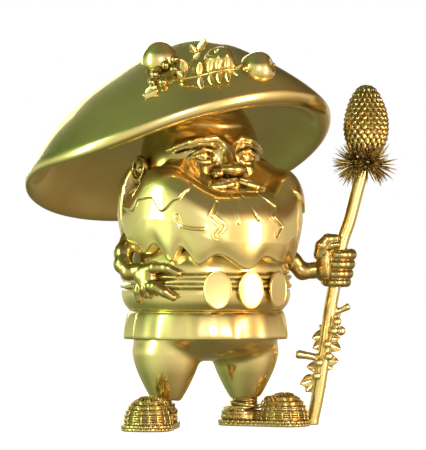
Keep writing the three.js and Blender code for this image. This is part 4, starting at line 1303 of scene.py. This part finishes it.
def buildSole(side, hand):
    # a slab with a rolled edge, and two courses of bast loops round its rim
    count = 90
    sections = [(3.2, 0.15), (1.6, 0.0), (1.2, 1.2), (1.2, 2.8), (1.8, 4.0), (3.4, 4.0)]
    points = []
    for inset, height in sections:
        loop = soleOutline(count, inset)
        points += [(f, s, height) for f, s in loop]
    faces = []
    for ring in range(len(sections) - 1):
        for step in range(count):
            nxt = (step + 1) % count
            faces.append((ring * count + step, ring * count + nxt,
                          (ring + 1) * count + nxt, (ring + 1) * count + step))
    faces.append(list(range(count))[::-1])
    faces.append(list(range((len(sections) - 1) * count, len(sections) * count)))
    places, aims, sides = [], [], []
    bricks = 42
    for course, height in enumerate((1.1, 2.95)):
        loop = soleOutline(bricks * 2, 1.5 - 0.25 * course)
        for step in range(course, bricks * 2, 2):
            ahead = loop[(step + 1) % len(loop)] - loop[step - 1]
            ahead = ahead / np.linalg.norm(ahead)
            places.append((loop[step][0], loop[step][1], height))
            aims.append((0, 0, 1))
            sides.append((ahead[0], ahead[1], 0))
    rim = scatter(brickShape(), toShoe(places, side), aims, turnAims(sides, side), (3.7, 2.9, 2.0), 0.05, 3)
    addJoined(f"shoeSole{hand}", [meshOf(toShoe(points, side), faces), rim], [f"shoe_sole_{hand.lower()}"])


def buildUpper(side, hand):
    points, faces = skin(upperField, (-19, -18, 2), (44, 18, 24), 0.5, 2)
    toe, radii = np.array(shoe["toe"]), np.array(shoe["toeRadii"])
    ribs = []
    for angle in np.linspace(-140, 140, shoe["ribs"]):
        a = math.radians(angle)
        rise = np.radians(np.linspace(-2, 84, 22))
        flat = np.cos(rise)
        line = toe + radii * np.stack([flat * math.cos(a), flat * math.sin(a), np.sin(rise)], axis=1)
        line = line[(upperField(line) > -0.9) & (line[:, 2] > 4.2)]
        if len(line) > 4:
            ribs.append(toShoe(onShoe(line, 0.35), side))
    rows = []
    for height in shoe["rowHeights"]:
        level = math.asin(min((height - toe[2]) / radii[2], 0.98))
        around = np.radians(np.linspace(-150, 150, 60))
        line = toe + radii * np.stack([math.cos(level) * np.cos(around), math.cos(level) * np.sin(around),
                                       np.full(60, math.sin(level))], axis=1)
        line = line[upperField(line) > -0.9]
        rows.append(toShoe(onShoe(line, 0.1), side))
    crossing = []
    for way in (-1, 1):
        strap = smoothCurve([(-13, way * 6, 9), (-5, way * 9.6, 12.4), (5, way * 8.2, 13.6),
                             (13, -way * 1.5, 18.6),
                             (20, -way * 8, 18.2), (24, -way * 13.4, 11)], 40)
        crossing.append(toShoe(onShoe(strap, 0.8), side))
    collar = [toShoe([(9.0 * math.cos(a), 8.9 * math.sin(a), 14.2 - 1.6 * math.cos(a)) for a in
                      np.linspace(0, 2 * math.pi, 40, endpoint=False)], side)]
    knots, aims, sides = [], [], []
    heel, heelRadii = np.array(shoe["heel"]), np.array(shoe["heelRadii"])
    for height in (6.2, 8.6, 11.0):
        level = math.asin((height - heel[2]) / heelRadii[2])
        around = np.radians(np.linspace(80, 280, 30))
        line = heel + heelRadii * np.stack([math.cos(level) * np.cos(around), math.cos(level) * np.sin(around),
                                            np.full(30, math.sin(level))], axis=1)
        line = onShoe(line, 0.15)
        knots += list(line)
        aims += [(point[0] - heel[0], point[1], 0) for point in line]
        sides += [(0, 0, 1)] * len(line)
    beads = scatter(brickShape(), toShoe(knots, side), turnAims(np.array(aims), side), sides,
                    (1.7, 1.25, 1.1), 0.08, 5)
    parts = [meshOf(toShoe(points, side), faces), cords(ribs, 0.5, 7), cords(rows, 0.62, 7),
             cords(crossing, 1.25, 10),
             cords(collar, 1.35, 10, closed=True), beads]
    addJoined(f"shoeUpper{hand}", parts, [f"shoe_upper_{hand.lower()}"])


def buildAnkleWrap(side, hand):
    low, high, radius = shoe["ankleFoot"], shoe["ankleTop"], shoe["ankleRadius"]
    points, faces = turnedMesh([(0, low), (radius - 0.9, low), (radius - 0.7, high), (0, high)], 36)
    turns = 4
    winding = []
    for step in range(turns * 28 + 1):
        angle = 2 * math.pi * step / 28
        height = low + 1.0 + (high - low - 2.0) * step / (turns * 28)
        winding.append((side * shoe["ankleAcross"] + (radius - 0.8) * math.cos(angle),
                        shoe["ankleBehind"] + (radius - 0.8) * math.sin(angle), height))
    points = points + np.array([side * shoe["ankleAcross"], shoe["ankleBehind"], 0])
    addJoined(f"ankleWrap{hand}", [meshOf(points, faces), cords([winding], 1.2, 10)],
              [f"ankle_wrap_{hand.lower()}"])


def buildShoes():
    for side, hand in ((-1, "Right"), (1, "Left")):
        buildSole(side, hand)
        buildUpper(side, hand)
        buildAnkleWrap(side, hand)


buildShoes()
print("shoes made")


# Trimmings on the hat: a small mushroom, two apples, berries and leafy sprigs

trim = {
    "stemFoot": (-34.5, -19.4, -15.5), "stemTop": (-31, -25.5, 3.1), "stemRadius": 4.4,
    "capRadius": 11.7, "capHeight": 12.8,
    "apples": [((9, -34.1, 0.7), 10.5, (-5, -4.5, 8.2)), ((32.2, -26.9, -1.1), 11.5, (10.4, -3.5, 3.0))],
    "berryRadius": 3.05,
    "upperBerries": [(-19.4, -39.6, 9.2), (-25.4, -40.6, 8.4), (-20, -41.6, 4.7)],
    "upperRoot": (-19.5, -38.6, 4.3),
    "lowerBerries": [(-32.3, -38, 3.2), (-33.7, -43.7, 3.2), (-26.9, -47.2, 3.2)],
    "lowerRoot": (-28.5, -39.8, 1.6),
}


def alignTo(points, direction):
    # turns a shape made along +z so that it points along direction
    turn = Vector((0, 0, 1)).rotation_difference(Vector(direction).normalized()).to_matrix()
    return np.asarray(points) @ np.array(turn).T


def buildHatMushroom():
    foot, top = onHat(*trim["stemFoot"]), onHat(*trim["stemTop"])
    r = trim["stemRadius"]
    long = float(np.linalg.norm(top - foot))
    profile = smoothCurve([(0, -1), (r * 1.1, -0.6), (r * 1.18, 2.5), (r * 0.96, long * 0.5),
                           (r * 0.92, long * 0.8),
                           (r * 1.05, long), (0, long + 0.4)], 40)
    profile[0, 0] = profile[-1, 0] = 0
    points, faces = turnedMesh(profile, 32)
    addPiece("hatMushroomStem", alignTo(points, top - foot) + foot, faces, ["hat_mushroom_stem"])
    wide, tall = trim["capRadius"], trim["capHeight"]
    section = smoothCurve([(0, 1.6), (wide * 0.5, 1.2), (wide * 0.86, 0.2), (wide * 0.97, -0.4), (wide, 0.7),
                           (wide * 0.93, tall * 0.36), (wide * 0.74, tall * 0.66), (wide * 0.46, tall * 0.89),
                           (wide * 0.2, tall * 0.985), (0, tall)], 70)
    section[0, 0] = section[-1, 0] = 0
    points, faces = turnedMesh(section, 72)
    around = np.arctan2(points[:, 1], points[:, 0])
    gills = (np.hypot(points[:, 0], points[:, 1]) < wide * 0.9) & (points[:, 2] < 1.7)
    points[gills, 2] += 0.35 * np.sin(around[gills] * 18)
    tilt = np.array(Euler((0.22, -0.28, 0)).to_matrix())
    addPiece("hatMushroomCap", points @ tilt.T + top + (2.6, 1.2, 0.6), faces, ["hat_mushroom_cap"])


def buildApples():
    for number, (place, radius, stalk) in enumerate(trim["apples"], 1):
        middle = onHat(*place)
        direction = spot(*stalk)
        direction = direction / np.linalg.norm(direction)
        profile = smoothCurve([(0, -0.78), (0.14, -0.86), (0.34, -0.93), (0.62, -0.82), (0.88, -0.48),
                               (1.0, 0.04), (0.94, 0.44), (0.72, 0.77), (0.46, 0.91), (0.26, 0.86),
                               (0.12, 0.74), (0, 0.66)], 70)
        profile[0, 0] = profile[-1, 0] = 0
        points, faces = turnedMesh(profile * radius, 64)
        around = np.arctan2(points[:, 1], points[:, 0])
        lobes = 1 + 0.022 * np.cos(5 * around) * ease(-points[:, 2] / radius, 0.1, 0.9)
        points[:, :2] *= lobes[:, None]
        addPiece(f"apple{number}", alignTo(points, direction) + middle, faces, [f"hat_apple_{number}"])
        stem = smoothCurve([(0, 0), (0.8, 0.1), (0.75, 2.4), (1.0, 4.2), (1.3, 5.0), (0.9, 5.4), (0, 5.3)], 24)
        stem[0, 0] = stem[-1, 0] = 0
        points, faces = turnedMesh(stem, 20)
        root = middle + direction * radius * 0.62
        addPiece(f"appleStalk{number}", alignTo(points, direction) + root, faces, [f"apple_stalk_{number}"])


def berryParts(middles, root, radius, outward):
    aims = [middle - np.asarray(root) + np.asarray(outward) for middle in middles]
    sides = [(0.3, 0.9, 0.1)] * len(middles)
    stalks = [smoothCurve([root, (np.asarray(root) + middle) / 2 + (0, 0, 0.8), middle], 8)
              for middle in middles]
    return [scatter(berryShape, middles, aims, sides, (radius,) * 3, 0.03, 4), cords(stalks, 0.6, 6)]


def buildHatBerries():
    towards = spot(0, -2.5, 0)
    for name in ("upper", "lower"):
        middles = [onHat(*place) for place in trim[f"{name}Berries"]]
        parts = berryParts(middles, onHat(*trim[f"{name}Root"]), trim["berryRadius"], towards)
        addJoined(f"hatBerries{name.title()}", parts, [f"hat_berries_{name}"])


def leaves(blades, width, dip=0.0, seed=2):
    # each blade is its root's place and how far its tip lies aside and up; it faces the front
    front = spot(0, -1, 0.25)
    roots, aims, sides, sizes = [], [], [], []
    for root, aside, up in blades:
        aim = spot(aside, dip, up)
        length = float(np.linalg.norm(aim))
        roots.append(root)
        aims.append(aim)
        sides.append(np.cross(front, aim))
        sizes.append((length * width * 2, length * 0.8, length))
    return scatter(leafShape, roots, aims, sides, sizes, 0.04, seed)


def buildSprigs():
    climbing = smoothCurve([onHat(-15.4, -48.8, 2), onHat(-13.6, -47, 3), onHat(-10, -41.9, 6),
                            onHat(-7, -35.5, 6.5),
                            onHat(-4.4, -28.6, 6)], 24)
    blades = [(onHat(-5, -29.5, 6), 5.4, 7.6), (onHat(-6.5, -33, 6.4), -3.4, 5.6),
              (onHat(-12.6, -45.6, 4), -2, 8),
              (onHat(-11, -43, 5.3), -5.6, 5), (onHat(-8.2, -38, 6.4), 4.8, 4),
              (onHat(-14, -47.4, 2.6), -4.4, 3.8)]
    addJoined("sprigUpper", [cords([climbing], np.linspace(0.95, 0.55, 24), 8), leaves(blades, 0.34, -1.5)],
              ["leaf_sprig_upper"])
    trailing = smoothCurve([onHat(-15, -50, 4), onHat(-4.2, -52, 6.2), onHat(9.7, -50.5, 9),
                            onHat(17.6, -47, 8)], 30)
    blades = []
    for across, behind, lift in ((-4.2, -52, 6.2), (2.2, -51.2, 7.6), (7.3, -50.6, 8.6), (12.8, -49, 8.8)):
        blades.append((onHat(across, behind, lift + 0.3), 0.6, 8.8))
        blades.append((onHat(across + 0.4, behind, lift - 0.3), 1.0, -8.2))
    blades.append((onHat(17.4, -47, 8.2), 5.4, 2.4))
    blades.append((onHat(17, -47.2, 7.8), 3.4, -4.2))
    addJoined("sprigLower", [cords([trailing], np.linspace(0.95, 0.5, 30), 8), leaves(blades, 0.26, -1.2)],
              ["leaf_sprig_lower"])
    root = onHat(-37, -50.4, 2.6)
    lobes = [(-2.6, -0.6, 10.2, 3), (-0.6, 0, 3.6, 4.8), (2, 0.8, 4.4, 4.4), (0, -0.4, 4.8, -3.2),
             (3, 0.6, 5.4, -2)]
    blades = [(root + spot(across, 0, height), aside, up) for across, height, aside, up in lobes]
    addJoined("hatLeaf", [leaves(blades, 0.34, -0.6)], ["hat_leaf"])


buildHatMushroom()
buildApples()
buildHatBerries()
buildSprigs()
print("hat trimmings made")


# Staff with its twigs, pine cone, needles, berries and leaves

staff = {
    "height": 172.5, "coneRadius": 14.6, "coneHeight": 47.0, "coneFoot": (104.8, 26, 175.5), "scaleRows": 14,
    "scalesRound": 18, "needles": 320, "needleLength": 17.5, "upperAcross": 103.2,
    "path": [(68.8, 26, 0), (73.1, 26, 20), (77.2, 26, 46)],
    "topPath": [(93.7, 26, 133), (96.2, 26, 142.5), (100, 26, 157), (102.6, 26, 166), (103.4, 26, 172.5)],
    "berries": [(85, 67.5), (82.9, 61.5), (87.6, 61.5), (78.6, 53), (79.5, 45), (73.4, 40.8), (71.7, 32.3)],
    "vine": [(84, 71), (82.4, 61.5), (79.4, 53), (77.4, 45), (74.6, 39.6), (72.2, 32)],
}


def buildShaft():
    grip = [gripMiddle + gripLean * distance for distance in (-36, -24, -12, 0, 12)]
    line = smoothCurve([spot(*p) for p in staff["path"]] + grip + [spot(*p) for p in staff["topPath"]], 44)
    line[0, 2] = -4

    def shaftField(p):
        whole = limb(p, line, staffRadius)
        upper = limb(p, [spot(81.2, 26, 73.2), spot(87, 26, 74.3), spot(92.4, 26, 77)], [1.9, 1.7, 2.3], 0.6)
        lower = limb(p, [spot(75.4, 26, 43), spot(68, 26, 44.8), spot(60.6, 26, 46)], [2.7, 2.3, 2.9], 0.6)
        whole = blend(whole, blend(upper, lower, 0.5), 2.2)
        hollows = blend(egg(p, spot(94.6, 26, 78.2), (1.6, 1.6, 1.6)),
                        egg(p, spot(58, 26, 46.4), (1.9, 1.9, 1.9)), 0.3)
        whole = carve(whole, hollows, 0.5)
        return overlap(whole, 0.02 - p[:, 2], 0.3)

    points, faces = skin(shaftField, (48, -40, -2), (104, 10, 178), 0.85, 2)
    points[:, 2] = np.minimum(np.maximum(points[:, 2], 0.0), staff["height"] + 3)
    addPiece("staffShaft", points, faces, ["staff_shaft"], body="staff")


def coneWidth(share):
    # the cone's radius at a share of its height: an egg, widest low down
    return staff["coneRadius"] * math.sin(math.pi * min(max(share, 0.001), 0.999) ** 0.78) ** 0.5


def buildCone():
    foot = spot(*staff["coneFoot"])
    tall = staff["coneHeight"]
    core = [(max(coneWidth(s) - 1.7, 0.4), s * tall) for s in np.linspace(0.03, 0.97, 26)]
    profile = [(0, 0), *core, (0, tall - 0.6)]
    points, faces = turnedMesh(profile, 48)
    core = meshOf(points + foot, faces)
    places, aims, sides, sizes = [], [], [], []
    rows = staff["scaleRows"]
    for row in range(rows):
        share = 0.05 + 0.93 * (row + 0.2) / rows
        width = coneWidth(share)
        slope = (coneWidth(share + 0.01) - coneWidth(share - 0.01)) / (0.02 * tall)
        count = staff["scalesRound"] if width > 8.5 else (12 if width > 5 else 8)
        for step in range(count):
            angle = 2 * math.pi * (step + 0.5 * (row % 2)) / count
            out = np.array((math.cos(angle), math.sin(angle), 0))
            places.append(foot + out * (width - 1.3) + (0, 0, share * tall))
            aims.append(out + (0, 0, -slope * 0.9 - 0.12))
            sides.append((-math.sin(angle), math.cos(angle), 0))
            sizes.append((2 * math.pi * width / count * 1.02, tall / rows * 2.05, 4.2))
    top = foot + (0, 0, tall - 1.4)
    for step in range(4):
        angle = math.pi * step / 2
        places.append(top + (1.4 * math.cos(angle), 1.4 * math.sin(angle), 0))
        aims.append((math.cos(angle) * 0.7, math.sin(angle) * 0.7, 1))
        sides.append((-math.sin(angle), math.cos(angle), 0))
        sizes.append((3.2, 4.2, 3.2))
    scales = scatter(scaleShape(), places, aims, sides, sizes, 0.04, 6)
    addJoined("pineCone", [core, scales], ["pine_cone"], body="staff")


def buildNeedles():
    axis = spot(staff["upperAcross"], 26, 0)
    profile = smoothCurve([(0, 165.6), (5.2, 165.8), (6.6, 168.4), (7.4, 172), (5, 174.6), (0, 175)], 30)
    profile[0, 0] = profile[-1, 0] = 0
    points, faces = turnedMesh(profile, 32)
    bundles = [(260, 171.6), (335, 170.4), (50, 171.8), (120, 170.6), (190, 171.4)]
    places, aims, sides, sizes = [], [], [], []
    for number in range(staff["needles"]):
        heading, height = bundles[number % len(bundles)]
        out = math.radians(heading)
        middle = axis + (6.4 * math.cos(out), 6.4 * math.sin(out), height)
        turn = out + random.uniform(-1.25, 1.25)
        rise = random.uniform(-1.2, 1.25)
        aim = np.array((math.cos(turn) * math.cos(rise), math.sin(turn) * math.cos(rise), math.sin(rise)))
        length = staff["needleLength"] * random.uniform(0.8, 1.0)
        places.append(middle)
        aims.append(aim)
        sides.append((-math.sin(turn), math.cos(turn), 0.01))
        sizes.append((0.7, 0.7, length))
    knots = [axis + (6.0 * math.cos(math.radians(h)), 6.0 * math.sin(math.radians(h)), z) for h, z in bundles]
    buds = scatter(ballShape(10, 7), knots, [(0, 0, 1)] * 5, [(1, 0, 0)] * 5, (2.6, 2.6, 2.9), 0.05, 8)
    tuft = scatter(needleShape(), places, aims, sides, sizes, 0.0, 7)
    addJoined("needleTuft", [meshOf(points + axis, faces), buds, tuft], ["needle_tuft"], body="staff")


def buildVine():
    behind = staffBehind - staffRadius - 1.9
    stem = smoothCurve([spot(across, behind + 0.4, height) for across, height in staff["vine"]], 30)
    middles = [spot(across, behind - 2.2, height) for across, height in staff["berries"]]
    places = np.array(middles)
    aims = [spot(0.3, -1, 0.2)] * len(middles)
    fruit = scatter(berryShape, places, aims, [(0.9, 0.4, 0.1)] * len(middles), (3.1,) * 3, 0.03, 9)
    stalks = []
    for middle in middles:
        nearest = stem[np.argmin(np.linalg.norm(stem - middle, axis=1))]
        stalks.append(smoothCurve([nearest, (nearest + middle) / 2 + (0, 0, 0.6), middle], 6))
    addJoined("staffBerries", [cords([stem], 0.95, 8), cords(stalks, 0.6, 6), fruit], ["staff_berries"],
              body="staff")


def buildStaffLeaves():
    behind = staffBehind + staffRadius + 1.5
    upper = [(81.6, 69, 80.6, 75), (81.6, 69, 88.6, 73.6), (81, 68.4, 77.2, 70.6), (80, 62, 73.8, 64.4),
             (79.6, 59, 69.6, 56.2), (79.4, 57, 74.6, 54.6), (78.6, 54, 70.2, 49.6), (78.6, 54, 88.2, 48.8),
             (79.4, 56.6, 87.6, 56.2), (79.6, 58.6, 85.6, 60.4)]
    lower = [(76, 43, 87, 40.8), (75.8, 41.6, 84.6, 43.8), (75.4, 40, 83, 36.2), (75, 38, 65.8, 37.2),
             (74.6, 37, 80.6, 36.6), (75, 37.6, 69.2, 34.8), (72.2, 30.2, 62, 26), (72, 29.6, 65.6, 21),
             (72, 29.6, 71, 19.2), (72.2, 29.6, 78.4, 23.6), (72.6, 30.2, 78.8, 29.6)]
    for name, blades, rib in (("Upper", upper, [(82.2, 72), (80.4, 62), (77.4, 50)]),
                              ("Lower", lower, [(77.2, 47), (74.4, 37), (71.2, 26)])):
        fan = leaves([(spot(a, behind, h), ta - a, th - h) for a, h, ta, th in blades], 0.42, 1.0)
        stem = smoothCurve([spot(across, behind - 0.6, height) for across, height in rib], 16)
        addJoined(f"staffLeaves{name}", [cords([stem], 0.75, 8), fan], [f"staff_leaves_{name.lower()}"],
                  body="staff")


buildShaft()
buildCone()
buildNeedles()
buildVine()
buildStaffLeaves()
print("staff made")


# The loose hardware keeps its own shape and takes a plated finish

for node in ("tie_rod", "tie_washer", "tie_nut", "cone_pin", "leg_pin_right", "leg_pin_left", "arm_pin_right",
             "arm_pin_left"):
    hardware = bpy.data.objects[node]
    hardware.data.materials.clear()
    hardware.data.materials.append(steel)
print("hardware finished")
